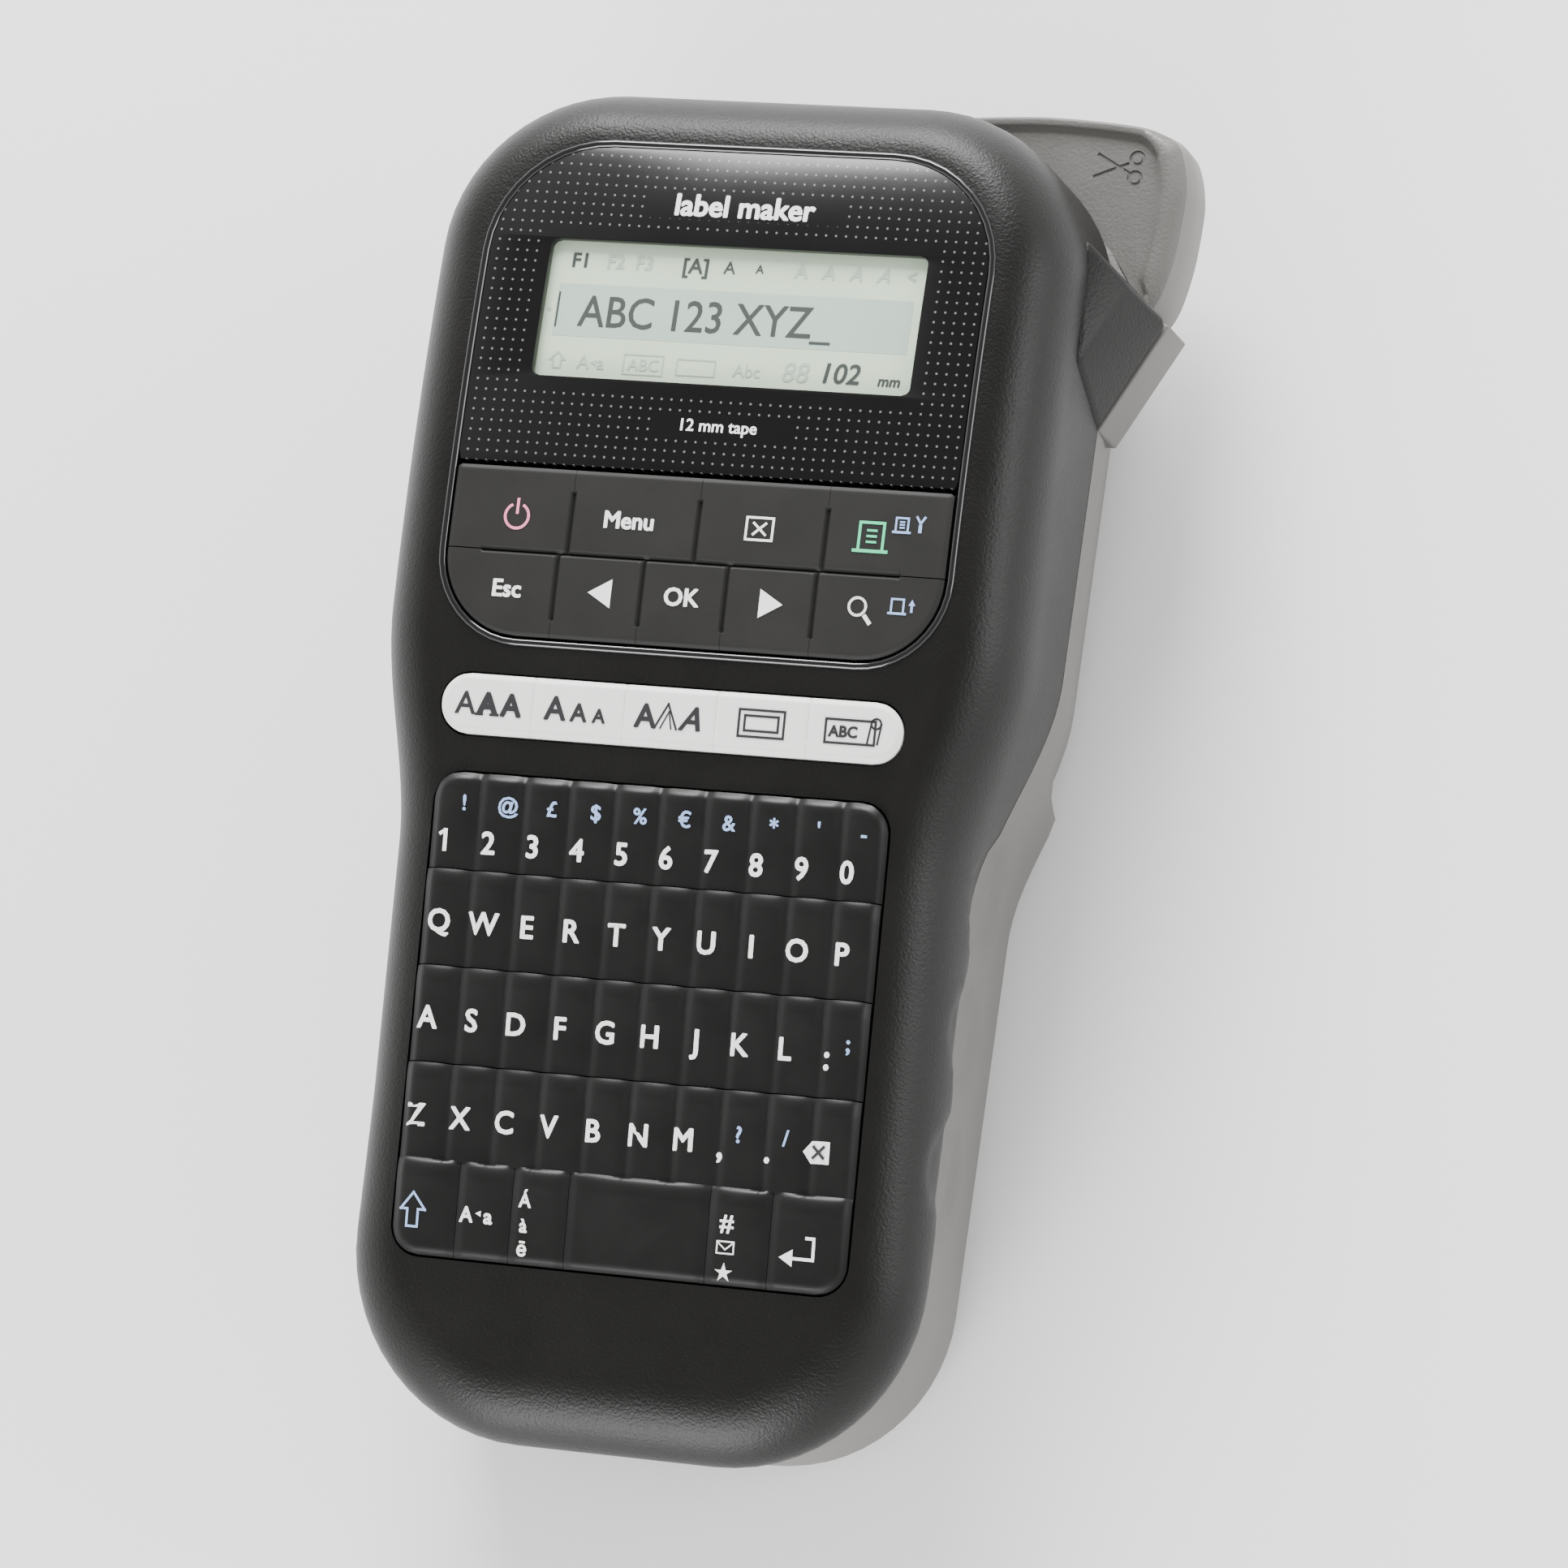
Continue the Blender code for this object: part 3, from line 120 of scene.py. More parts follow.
@dataclass(frozen=True)
class RoundBox:
    """A rectangle whose lower and upper corners have their own radii."""

    left: float
    right: float
    bottom: float
    top: float
    low_corner: float
    high_corner: float

    def grown(self, margin: float) -> "RoundBox":
        """The same outline moved out by a margin, corners and all."""
        return RoundBox(self.left - margin, self.right + margin, self.bottom - margin,
                        self.top + margin, max(self.low_corner + margin, 0.2),
                        max(self.high_corner + margin, 0.2))

    def side(self, y: float) -> Point:
        """Left and right edge at one y.

        Args:
            y: Where to read the outline; past an end, the end's own edges count.

        Returns:
            X of the left and of the right edge.
        """
        y = min(max(y, self.bottom), self.top)
        cut = 0.0
        if y > self.top - self.high_corner:
            rise = y - (self.top - self.high_corner)
            cut = self.high_corner - math.sqrt(max(self.high_corner ** 2 - rise ** 2, 0.0))
        elif y < self.bottom + self.low_corner:
            drop = self.bottom + self.low_corner - y
            cut = self.low_corner - math.sqrt(max(self.low_corner ** 2 - drop ** 2, 0.0))
        return self.left + cut, self.right - cut

    def depth(self, x: float, y: float) -> float:
        """How far a point is inside the outline."""
        middle_x = (self.left + self.right) / 2
        middle_y = (self.bottom + self.top) / 2
        corner = self.high_corner if y > middle_y else self.low_corner
        qx = abs(x - middle_x) - ((self.right - self.left) / 2 - corner)
        qy = abs(y - middle_y) - ((self.top - self.bottom) / 2 - corner)
        outside = math.hypot(max(qx, 0.0), max(qy, 0.0))
        return corner - outside - min(max(qx, qy), 0.0)

    def loop(self, steps: int = 10, side_steps: int = 12) -> list[Point]:
        """The closed outline, counter-clockwise from the lower right corner.

        Args:
            steps: Pieces in each round corner.
            side_steps: Pieces along each long side.

        Returns:
            Points of the outline.
        """
        points: list[Point] = []
        centres = [(self.right - self.low_corner, self.bottom + self.low_corner, self.low_corner, -90),
                   (self.right - self.high_corner, self.top - self.high_corner, self.high_corner, 0),
                   (self.left + self.high_corner, self.top - self.high_corner, self.high_corner, 90),
                   (self.left + self.low_corner, self.bottom + self.low_corner, self.low_corner, 180)]
        for index, (cx, cy, radius, start) in enumerate(centres):
            for i in range(steps + 1):
                angle = math.radians(start + 90 * i / steps)
                points.append((cx + radius * math.cos(angle), cy + radius * math.sin(angle)))
            if index in (0, 2):
                nx, ny, next_radius, _ = centres[(index + 1) % 4]
                goal = nx + next_radius if index == 0 else nx - next_radius
                x, y = points[-1]
                for i in range(1, side_steps):
                    points.append((x + (goal - x) * i / side_steps, y + (ny - y) * i / side_steps))
        return points


@dataclass(frozen=True)
class BodyPlan:
    """Outline of the two shells, with the shoulder between keyboard and display."""

    bottom: float
    top: float
    half: float = 50.1
    waist: float = 5.7
    shift: float = 0.75
    top_corner: float = 26.3
    bottom_corner: float = 29.0
    parting: float = 29.0
    grip_taper: float = 2.2
    rear_taper: float = 5.2
    narrow_taper: float = 1.8
    taper_change: Point = (1.6, 7.8)
    shoulder_ends: Point = (-16.8, 18.4)
    grips: tuple[float, ...] = (-15.0, -35.5, -56.0)
    grip_depth: float = 0.75
    grip_reach: Point = (8.6, 11.5)

    @property
    def wall_x(self) -> float:
        """X of the right wall at the display end."""
        return self.sides(self.top)[1]

    def shoulder(self, y: float) -> float:
        """0 at the keyboard end, 1 at the display end."""
        return smooth_step(y, *self.shoulder_ends)

    def sides(self, y: float) -> Point:
        """Left and right X of the widest outline."""
        half = self.half - self.waist * (1 - self.shoulder(y))
        centre = self.shift * self.shoulder(y)
        return centre - half, centre + half

    def parting_inset(self, y: float) -> float:
        """How far the wall leans in at the joint line."""
        return self.grip_taper * (1 - self.shoulder(y))

    def rear_inset(self, y: float) -> float:
        """How far the foot of the rear shell stands in."""
        change = (self.rear_taper - self.narrow_taper) * smooth_step(y, *self.taper_change)
        return self.parting_inset(y) + self.narrow_taper + change

    def dent(self, y: float, z: float) -> float:
        """Depth of the three finger grips on each side, at a place on the wall."""
        deepest = 0.0
        for centre in self.grips:
            along, up = self.grip_reach
            reach = math.hypot((y - centre) / along, (z - self.parting + 1.0) / up)
            deepest = max(deepest, 1 - smooth_step(reach, 0.8, 1.0))
        return self.grip_depth * deepest

    def rows(self, inset: Callable[[float], float], corner_steps: int = 14,
             side_steps: int = 56) -> list[Row]:
        """Rows (y, left, right) of the outline, top to bottom.

        Args:
            inset: How far the outline moves in, read at each y.
            corner_steps: Rows in each pair of corners.
            side_steps: Rows between the corners.

        Returns:
            The rows.
        """
        rows: list[Row] = []
        high = self.top - self.top_corner
        low = self.bottom + self.bottom_corner
        for i in range(corner_steps + 1):
            angle = math.pi / 2 * (1 - i / corner_steps)
            left, right = self.sides(self.top)
            radius = self.top_corner - inset(self.top)
            reach = radius * math.cos(angle) - self.top_corner
            rows.append((high + radius * math.sin(angle), left - reach, right + reach))
        for i in range(1, side_steps):
            y = high + (low - high) * i / side_steps
            left, right = self.sides(y)
            rows.append((y, left + inset(y), right - inset(y)))
        for i in range(corner_steps + 1):
            angle = math.pi / 2 * i / corner_steps
            left, right = self.sides(self.bottom)
            radius = self.bottom_corner - inset(self.bottom)
            reach = radius * math.cos(angle) - self.bottom_corner
            rows.append((low - radius * math.sin(angle), left - reach, right + reach))
        return rows


# ---------------------------------------------------------------- finishes

class Look(Enum):
    """The finishes that the pieces are dressed in."""

    BLACK_SHELL = "black_shell"
    GREY_SHELL = "grey_shell"
    GREY_LEVER = "grey_lever"
    GLOSS_BLACK = "gloss_black"
    PANEL = "dotted_panel"
    SCREEN = "screen"
    PAD_RUBBER = "pad_rubber"
    KEY_RUBBER = "key_rubber"
    WHITE_KEYS = "white_keys"
    WHITE_INK = "white_ink"
    BLUE_INK = "blue_ink"
    GREEN_INK = "green_ink"
    PINK_INK = "pink_ink"
    BLACK_INK = "black_ink"
    SCREEN_INK = "screen_ink"
    GHOST_INK = "ghost_ink"
    BAND_INK = "band_ink"
    STEEL = "steel"
    DARK_STEEL = "dark_steel"
    GEAR = "gear_plastic"
    CASSETTE = "cassette_plastic"
    BOARD = "circuit_board"
    CELL = "cell_sleeve"
    ROLLER = "roller_rubber"
    FLOOR = "studio_floor"


@dataclass
class Finish:
    """One surface finish: a colour that drifts a little, a roughness and a grain.

    The grain is a fine bump; the drift is a slow change of colour and of roughness.
    """

    colour: Colour
    roughness: float = 0.5
    metallic: float = 0.0
    specular: float = 0.5
    coat: float = 0.0
    grain_size: float = 0.25
    grain_depth: float = 0.015
    drift: float = 0.15
    drift_size: float = 9.0
    roughness_drift: float = 0.06
    stretch: Colour = (1.0, 1.0, 1.0)

    def build(self, name: str) -> bpy.types.Material:
        """Make the material.

        Args:
            name: The material's name.

        Returns:
            The finished node material.
        """
        material = bpy.data.materials.new(name)
        material.use_nodes = True
        tree = material.node_tree
        shader = tree.nodes["Principled BSDF"]
        shader.inputs["Metallic"].default_value = self.metallic
        shader.inputs["Specular IOR Level"].default_value = self.specular
        shader.inputs["Coat Weight"].default_value = self.coat
        shader.inputs["Coat Roughness"].default_value = COAT_ROUGHNESS
        place = tree.nodes.new("ShaderNodeMapping")
        place.inputs["Scale"].default_value = self.stretch
        coords = tree.nodes.new("ShaderNodeTexCoord")
        tree.links.new(coords.outputs["Object"], place.inputs["Vector"])
        slow = self.noise(tree, place.outputs["Vector"], self.drift_size, 3.0)
        tree.links.new(self.paint(tree, place.outputs["Vector"], slow), shader.inputs["Base Color"])
        rough = tree.nodes.new("ShaderNodeMapRange")
        rough.inputs["To Min"].default_value = max(self.roughness - self.roughness_drift, 0.02)
        rough.inputs["To Max"].default_value = min(self.roughness + self.roughness_drift, 1.0)
        tree.links.new(slow, rough.inputs["Value"])
        tree.links.new(rough.outputs["Result"], shader.inputs["Roughness"])
        self.relief(tree, place.outputs["Vector"], shader)
        return material

    def math(self, tree: Tree, operation: str, first: Socket, second: float | Socket = 0.0,
             third: float = 0.0) -> Socket:
        """One Math node.

        Args:
            tree: The material's nodes.
            operation: What it does.
            first: Its first input.
            second: A socket or a number.
            third: The number a multiply-add adds.

        Returns:
            Its output.
        """
        node = tree.nodes.new("ShaderNodeMath")
        node.operation = operation
        tree.links.new(first, node.inputs[0])
        if isinstance(second, (int, float)):
            node.inputs[1].default_value = second
        else:
            tree.links.new(second, node.inputs[1])
        node.inputs[2].default_value = third
        return node.outputs[0]

    def mix(self, tree: Tree, mask: Socket, base: Socket, colour: Colour) -> Socket:
        """Lay one colour over another where a mask is 1.

        Args:
            tree: The material's nodes.
            mask: The mask.
            base: The colour underneath.
            colour: The colour on top.

        Returns:
            The mixed colour's socket.
        """
        mix = tree.nodes.new("ShaderNodeMix")
        mix.data_type = "RGBA"
        tree.links.new(mask, mix.inputs["Factor"])
        tree.links.new(base, mix.inputs["A"])
        mix.inputs["B"].default_value = (*colour, 1.0)
        return mix.outputs["Result"]

    def noise(self, tree: Tree, vector: Socket, size: float, detail: float) -> Socket:
        """A noise whose lumps are about a size, in millimetres, across.

        Args:
            tree: The material's nodes.
            vector: Where the noise is read.
            size: Size of a lump.
            detail: Octaves.

        Returns:
            The noise's value socket.
        """
        noise = tree.nodes.new("ShaderNodeTexNoise")
        noise.inputs["Scale"].default_value = 1.0 / (size * MM)
        noise.inputs["Detail"].default_value = detail
        tree.links.new(vector, noise.inputs["Vector"])
        return noise.outputs["Fac"]

    def paint(self, tree: Tree, vector: Socket, slow: Socket) -> Socket:
        """The colour, a little darker and lighter over the surface.

        Args:
            tree: The material's nodes.
            vector: Place on the piece.
            slow: The slow noise.

        Returns:
            The colour socket.
        """
        ramp = tree.nodes.new("ShaderNodeValToRGB")
        drifts = (1 - self.drift, 1 + self.drift)
        for element, position, drift in zip(ramp.color_ramp.elements, RAMP_ENDS, drifts):
            element.position = position
            element.color = (*(min(c * drift, 1.0) for c in self.colour), 1.0)
        tree.links.new(slow, ramp.inputs["Fac"])
        return ramp.outputs["Color"]

    def relief(self, tree: Tree, vector: Socket, shader: bpy.types.Node) -> None:
        """Give the surface its fine grain.

        Args:
            tree: The material's nodes.
            vector: Place on the piece.
            shader: The shader to bump.
        """
        bump = tree.nodes.new("ShaderNodeBump")
        bump.inputs["Strength"].default_value = 1.0
        bump.inputs["Distance"].default_value = self.grain_depth * MM
        tree.links.new(self.noise(tree, vector, self.grain_size, 2.0), bump.inputs["Height"])
        tree.links.new(bump.outputs["Normal"], shader.inputs["Normal"])


@dataclass
class DottedPanel(Finish):
    """Polished panel with a printed lattice of small grey dots round the window."""

    pitch: float = 1.55
    dot: float = 0.36
    origin: Point = (1.4, 63.5)
    clear: tuple[RoundBox, ...] = ()
    dot_colour: Colour = (0.14, 0.14, 0.14)

    def paint(self, tree: Tree, vector: Socket, slow: Socket) -> Socket:
        """Black with dots, left plain inside the clear areas.

        Args:
            tree: The material's nodes.
            vector: Place on the piece.
            slow: The slow noise, which the black drifts with.

        Returns:
            The colour socket.
        """
        base = super().paint(tree, vector, slow)
        split = tree.nodes.new("ShaderNodeSeparateXYZ")
        tree.links.new(vector, split.inputs["Vector"])
        legs = []
        for socket, start in zip((split.outputs["X"], split.outputs["Y"]), self.origin):
            cells = self.math(tree, "MULTIPLY_ADD", socket, 1 / (self.pitch * MM), -start / self.pitch)
            legs.append(self.math(tree, "SUBTRACT", self.math(tree, "FRACT", cells), 0.5))
        squares = [self.math(tree, "MULTIPLY", leg, leg) for leg in legs]
        reach = self.math(tree, "ADD", squares[0], squares[1])
        mask = self.math(tree, "LESS_THAN", reach, (self.dot / 2 / self.pitch) ** 2)
        for area in self.clear:
            outside = None
            for socket, low, high in ((split.outputs["X"], area.left, area.right),
                                      (split.outputs["Y"], area.bottom, area.top)):
                shifted = self.math(tree, "ADD", socket, -(low + high) / 2 * MM)
                away = self.math(tree, "ABSOLUTE", shifted, 0.0)
                past = self.math(tree, "GREATER_THAN", away, (high - low) / 2 * MM)
                outside = past if outside is None else self.math(tree, "MAXIMUM", outside, past)
            mask = self.math(tree, "MULTIPLY", mask, outside)
        return self.mix(tree, mask, base, self.dot_colour)


@dataclass
class CellSleeve(Finish):
    """Printed sleeve of a battery cell: a dark body and a copper band at the positive end."""

    band_start: float = -35.0
    band_colour: Colour = (0.55, 0.25, 0.09)

    def paint(self, tree: Tree, vector: Socket, slow: Socket) -> Socket:
        """Body colour below the band's start, copper past it.

        Args:
            tree: The material's nodes.
            vector: Place on the piece.
            slow: The slow noise.

        Returns:
            The colour socket.
        """
        base = super().paint(tree, vector, slow)
        split = tree.nodes.new("ShaderNodeSeparateXYZ")
        tree.links.new(vector, split.inputs["Vector"])
        past = self.math(tree, "GREATER_THAN", split.outputs["Y"], self.band_start * MM)
        return self.mix(tree, past, base, self.band_colour)


class Wardrobe:
    """All the finishes, each made into a material the first time it is worn."""

    def __init__(self, clear: tuple[RoundBox, ...]) -> None:
        """Lay out the finishes.

        Args:
            clear: Areas of the display panel without dots.
        """
        self.made: dict[Look, bpy.types.Material] = {}
        ink = {"roughness": 0.5, "grain_depth": 0.004, "drift": 0.03, "roughness_drift": 0.03}
        self.finishes: dict[Look, Finish] = {
            Look.BLACK_SHELL: Finish((0.0045, 0.0042, 0.0038), 0.4, grain_size=0.45, grain_depth=0.085,
                                     drift=0.1, specular=0.24, roughness_drift=0.04),
            Look.GREY_SHELL: Finish((0.1, 0.096, 0.09), 0.5, grain_size=0.4, grain_depth=0.03,
                                    drift=0.06),
            Look.GREY_LEVER: Finish((0.105, 0.1, 0.094), 0.42, grain_size=0.5, grain_depth=0.06,
                                    drift=0.05),
            Look.GLOSS_BLACK: Finish((0.004, 0.004, 0.0045), 0.13, grain_depth=0.002, drift=0.1,
                                     roughness_drift=0.03, coat=0.4),
            Look.PANEL: DottedPanel((0.003, 0.003, 0.003), 0.2, specular=0.35, grain_depth=0.001,
                                    drift=0.1, roughness_drift=0.03, clear=clear),
            Look.SCREEN: Finish((0.53, 0.64, 0.49), 0.32, grain_depth=0.001, drift=0.05,
                                drift_size=26.0, roughness_drift=0.03),
            Look.PAD_RUBBER: Finish((0.013, 0.0126, 0.0118), 0.6, specular=0.25, grain_size=0.3,
                                    grain_depth=0.014, drift=0.1),
            Look.KEY_RUBBER: Finish((0.005, 0.0048, 0.0046), 0.4, specular=0.28, grain_size=0.3,
                                    grain_depth=0.01, drift=0.12, drift_size=6.0),
            Look.WHITE_KEYS: Finish((0.8, 0.8, 0.78), 0.45, grain_size=0.3, grain_depth=0.008,
                                    drift=0.02),
            Look.WHITE_INK: Finish((0.86, 0.87, 0.85), **ink),
            Look.BLUE_INK: Finish((0.3, 0.43, 0.72), **ink),
            Look.GREEN_INK: Finish((0.05, 0.62, 0.3), **ink),
            Look.PINK_INK: Finish((0.85, 0.25, 0.42), **ink),
            Look.BLACK_INK: Finish((0.015, 0.015, 0.017), **ink),
            Look.SCREEN_INK: Finish((0.035, 0.045, 0.04), **ink),
            Look.GHOST_INK: Finish((0.36, 0.45, 0.37), **ink),
            Look.BAND_INK: Finish((0.38, 0.48, 0.41), **ink),
            Look.STEEL: Finish((0.6, 0.6, 0.6), 0.32, metallic=1.0, grain_size=0.3, grain_depth=0.004,
                               drift=0.05, stretch=(1.0, 0.08, 1.0)),
            Look.DARK_STEEL: Finish((0.12, 0.12, 0.12), 0.38, metallic=1.0, grain_depth=0.004,
                                    drift=0.1),
            Look.GEAR: Finish((0.74, 0.72, 0.66), 0.45, grain_depth=0.006, drift=0.04),
            Look.CASSETTE: Finish((0.05, 0.05, 0.055), 0.42, grain_size=0.3, grain_depth=0.012,
                                  drift=0.1),
            Look.BOARD: Finish((0.02, 0.13, 0.045), 0.35, grain_size=0.6, grain_depth=0.01),
            Look.CELL: CellSleeve((0.02, 0.022, 0.028), 0.25, grain_depth=0.003, drift=0.05, coat=0.3),
            Look.ROLLER: Finish((0.03, 0.03, 0.03), 0.75, grain_depth=0.012, drift=0.1),
            Look.FLOOR: Finish((0.9, 0.9, 0.9), 0.6, grain_size=2.0, grain_depth=0.01, drift=0.01,
                               drift_size=200.0),
        }

    def wear(self, piece: Piece, look: Look) -> None:
        """Dress a piece in one finish.

        Args:
            piece: The piece or CAD node.
            look: The finish.
        """
        if look not in self.made:
            self.made[look] = self.finishes[look].build(look.value)
        piece.data.materials.clear()
        piece.data.materials.append(self.made[look])


# ---------------------------------------------------------------- bench

class Bench:
    """Edit-mode work on one piece at a time."""

    @staticmethod
    def mode(name: str) -> None:
        """Change to EDIT or OBJECT mode."""
        bpy.ops.object.mode_set(mode=name)

    @staticmethod
    def clear() -> None:
        """Leave edit mode and select nothing."""
        if bpy.context.object and bpy.context.object.mode == "EDIT":
            Bench.mode("OBJECT")
        bpy.ops.object.select_all(action="DESELECT")

    @staticmethod
    def pick(piece: Piece) -> None:
        """Select one piece and make it active."""
        Bench.clear()
        piece.select_set(True)
        bpy.context.view_layer.objects.active = piece

    @staticmethod
    def named(name: str) -> Piece:
        """Name the piece that an operator has just added."""
        piece = bpy.context.object
        piece.name = name
        piece.data.name = name
        return piece

    @staticmethod
    def settle(piece: Piece) -> Piece:
        """Put the piece's place, turn and scale into its mesh."""
        Bench.pick(piece)
        bpy.ops.object.transform_apply(location=True, rotation=True, scale=True)
        return piece

    @staticmethod
    def apply(piece: Piece, kind: str, **settings: object) -> None:
        """Add one modifier and apply it.

        Args:
            piece: The piece.
            kind: The modifier's type.
            settings: Its values, in Blender's units.
        """
        Bench.pick(piece)
        modifier = piece.modifiers.new(kind.lower(), kind)
        for key, value in settings.items():
            setattr(modifier, key, value)
        bpy.ops.object.modifier_apply(modifier=modifier.name)

    @staticmethod
    def cut(piece: Piece, tool: Piece) -> None:
        """Cut a tool out of a piece; the tool is used up.

        Args:
            piece: The piece that stays.
            tool: The solid that is taken out of it.
        """
        Bench.apply(piece, "BOOLEAN", object=tool, operation="DIFFERENCE", solver="MANIFOLD")
        bpy.data.objects.remove(tool, do_unlink=True)

    @staticmethod
    def smooth(piece: Piece, angle: float = 35.0) -> None:
        """Shade smooth, with edges sharper than an angle kept."""
        Bench.pick(piece)
        bpy.ops.object.shade_smooth_by_angle(angle=math.radians(angle))

    @staticmethod
    def normals_out(piece: Piece) -> None:
        """Merge doubles and turn every face outwards."""
        Bench.pick(piece)
        Bench.mode("EDIT")
        bpy.ops.mesh.select_all(action="SELECT")
        bpy.ops.mesh.remove_doubles(threshold=WELD)
        bpy.ops.mesh.normals_make_consistent(inside=False)
        Bench.mode("OBJECT")

    @staticmethod
    def soft_edges(piece: Piece, width: float, segments: int, angle: float) -> None:
        """Round the piece's sharp edges.

        Args:
            piece: The piece.
            width: Width of the rounding in millimetres.
            segments: Faces across it.
            angle: Edges sharper than this are rounded.
        """
        Bench.apply(piece, "BEVEL", width=width * MM, segments=segments, limit_method="ANGLE",
                    angle_limit=math.radians(angle), use_clamp_overlap=True)

    @staticmethod
    def join(name: str, pieces: Sequence[Piece]) -> Piece:
        """Join pieces into the first one and name it.

        Args:
            name: The joined piece's name.
            pieces: The pieces.

        Returns:
            The joined piece.
        """
        Bench.pick(pieces[0])
        for piece in pieces:
            piece.select_set(True)
        if len(pieces) > 1:
            bpy.ops.object.join()
        return Bench.named(name)

    @staticmethod
    def move_points(piece: Piece, place: Callable[[Vector], Vector]) -> None:
        """Move every point of a mesh; the rule reads and gives millimetres.

        Args:
            piece: The piece.
            place: Gives a point's new place.
        """
        for vertex in piece.data.vertices:
            vertex.co = place(vertex.co / MM) * MM
        piece.data.update()

    @staticmethod
    def sheet(name: str, columns: int, rows: int,
              place: Callable[[float, float], Vector]) -> Piece:
        """A grid laid over a surface.

        Args:
            name: The piece's name.
            columns: Cells across.
            rows: Cells along.
            place: Gives a point's place, in millimetres, from its share across and along.

        Returns:
            The sheet.
        """
        Bench.clear()
        bpy.ops.mesh.primitive_grid_add(x_subdivisions=columns, y_subdivisions=rows, size=1.0)
        piece = Bench.named(name)
        for vertex in piece.data.vertices:
            vertex.co = place(vertex.co.x + 0.5, vertex.co.y + 0.5) * MM
        return piece

    @staticmethod
    def round_block(name: str, area: RoundBox, rows: int, height: Callable[[float], float], drop: float,
                    spread: Callable[[float], float] = lambda along: along) -> Piece:
        """A block with a rounded outline.

        Args:
            name: The piece's name.
            area: The outline.
            rows: Cells along.
            height: Height of the top at each y.
            drop: The block's depth.
            spread: Share of the outline's length for a share of the rows; it can crowd them
                at the ends.

        Returns:
            The block.
        """

        def place(across: float, along: float) -> Vector:
            """The place of a point from its share across and along."""
            y = area.bottom + (area.top - area.bottom) * spread(along)
            left, right = area.side(y)
            return Vector((left + (right - left) * across, y, height(y)))

        piece = Bench.sheet(name, 1, rows, place)
        Bench.thicken(piece, drop)
        return piece

    @staticmethod
    def grow_rings(piece: Piece, rings: Sequence[Sequence[Sequence[float]]]) -> None:
        """Move a circle's points to the first ring, and extrude it through the others.

        Args:
            piece: The circle, with a point for each place of a ring.
            rings: The rings' places, in millimetres. The piece is left in edit mode.
        """
        Bench.mode("EDIT")
        before: list[Vector] = []
        for step, places in enumerate(rings):
            if step:
                bpy.ops.mesh.extrude_region_move()
            mesh = bmesh.from_edit_mesh(piece.data)
            mesh.verts.ensure_lookup_table()
            ring = list(mesh.verts)
            if step:
                lookup = {Loft.key(vertex.co): vertex for vertex in mesh.verts if vertex.select}
                ring = [lookup[Loft.key(place)] for place in before]
            for vertex, place in zip(ring, places):
                vertex.co = Vector(place) * MM
            before = [vertex.co.copy() for vertex in ring]
            bmesh.update_edit_mesh(piece.data)

    @staticmethod
    def thicken(piece: Piece, drop: float) -> None:
        """Turn a sheet into a closed block by extruding it straight down.

        Args:
            piece: The sheet.
            drop: How far down, in millimetres.
        """
        Bench.pick(piece)
        Bench.mode("EDIT")
        bpy.ops.mesh.select_all(action="SELECT")
        bpy.ops.mesh.remove_doubles(threshold=SHEET_WELD)
        bpy.ops.mesh.select_all(action="SELECT")
        bpy.ops.mesh.extrude_region_move(TRANSFORM_OT_translate={"value": (0, 0, -drop * MM)})
        bpy.ops.mesh.select_all(action="SELECT")
        bpy.ops.mesh.normals_make_consistent(inside=False)
        Bench.mode("OBJECT")

    @staticmethod
    def outline_prism(name: str, points: Sequence[Point], low: float, high: float) -> Piece:
        """A flat outline raised between two heights.

        Args:
            name: The piece's name.
            points: The outline.
            low: Lower face's height.
            high: Upper face's height.

        Returns:
            The solid.
        """
        Bench.clear()
        bpy.ops.mesh.primitive_circle_add(vertices=len(points), radius=1.0, fill_type="NGON")
        piece = Bench.named(name)
        for vertex, (x, y) in zip(piece.data.vertices, points):
            vertex.co = Vector((x, y, high)) * MM
        Bench.thicken(piece, high - low)
        return piece

    @staticmethod
    def lathe(name: str, profile: Sequence[Point], centre: Sequence[float], axis: str = "Z",
              steps: int = 40) -> Piece:
        """Spin a profile of (radius, height) about an axis.

        Args:
            name: The piece's name.
            profile: The closed or axis-to-axis profile.
            centre: The axis's foot, in millimetres.
            axis: Z or Y.
            steps: Faces round it.

        Returns:
            The turned solid.
        """
        Bench.clear()
        bpy.ops.mesh.primitive_circle_add(vertices=len(profile), radius=1.0, fill_type="NOTHING")
        piece = Bench.named(name)
        closed = profile[0][0] > 0
        for vertex, (radius, height) in zip(piece.data.vertices, profile):
            vertex.co = Vector((radius, 0, height)) * MM
        Bench.mode("EDIT")
        mesh = bmesh.from_edit_mesh(piece.data)
        mesh.verts.ensure_lookup_table()
        if not closed:
            last, first = mesh.verts[len(profile) - 1], mesh.verts[0]
            mesh.edges.remove(next(e for e in last.link_edges if first in e.verts))
            bmesh.update_edit_mesh(piece.data)
        bpy.ops.mesh.select_all(action="SELECT")
        bpy.ops.mesh.spin(steps=steps, angle=2 * math.pi, center=(0, 0, 0), axis=(0, 0, 1))
        Bench.mode("OBJECT")
        Bench.normals_out(piece)
        if axis == "Y":
            piece.rotation_euler = (-math.pi / 2, 0, 0)
        piece.location = Vector(centre) * MM
        return Bench.settle(piece)


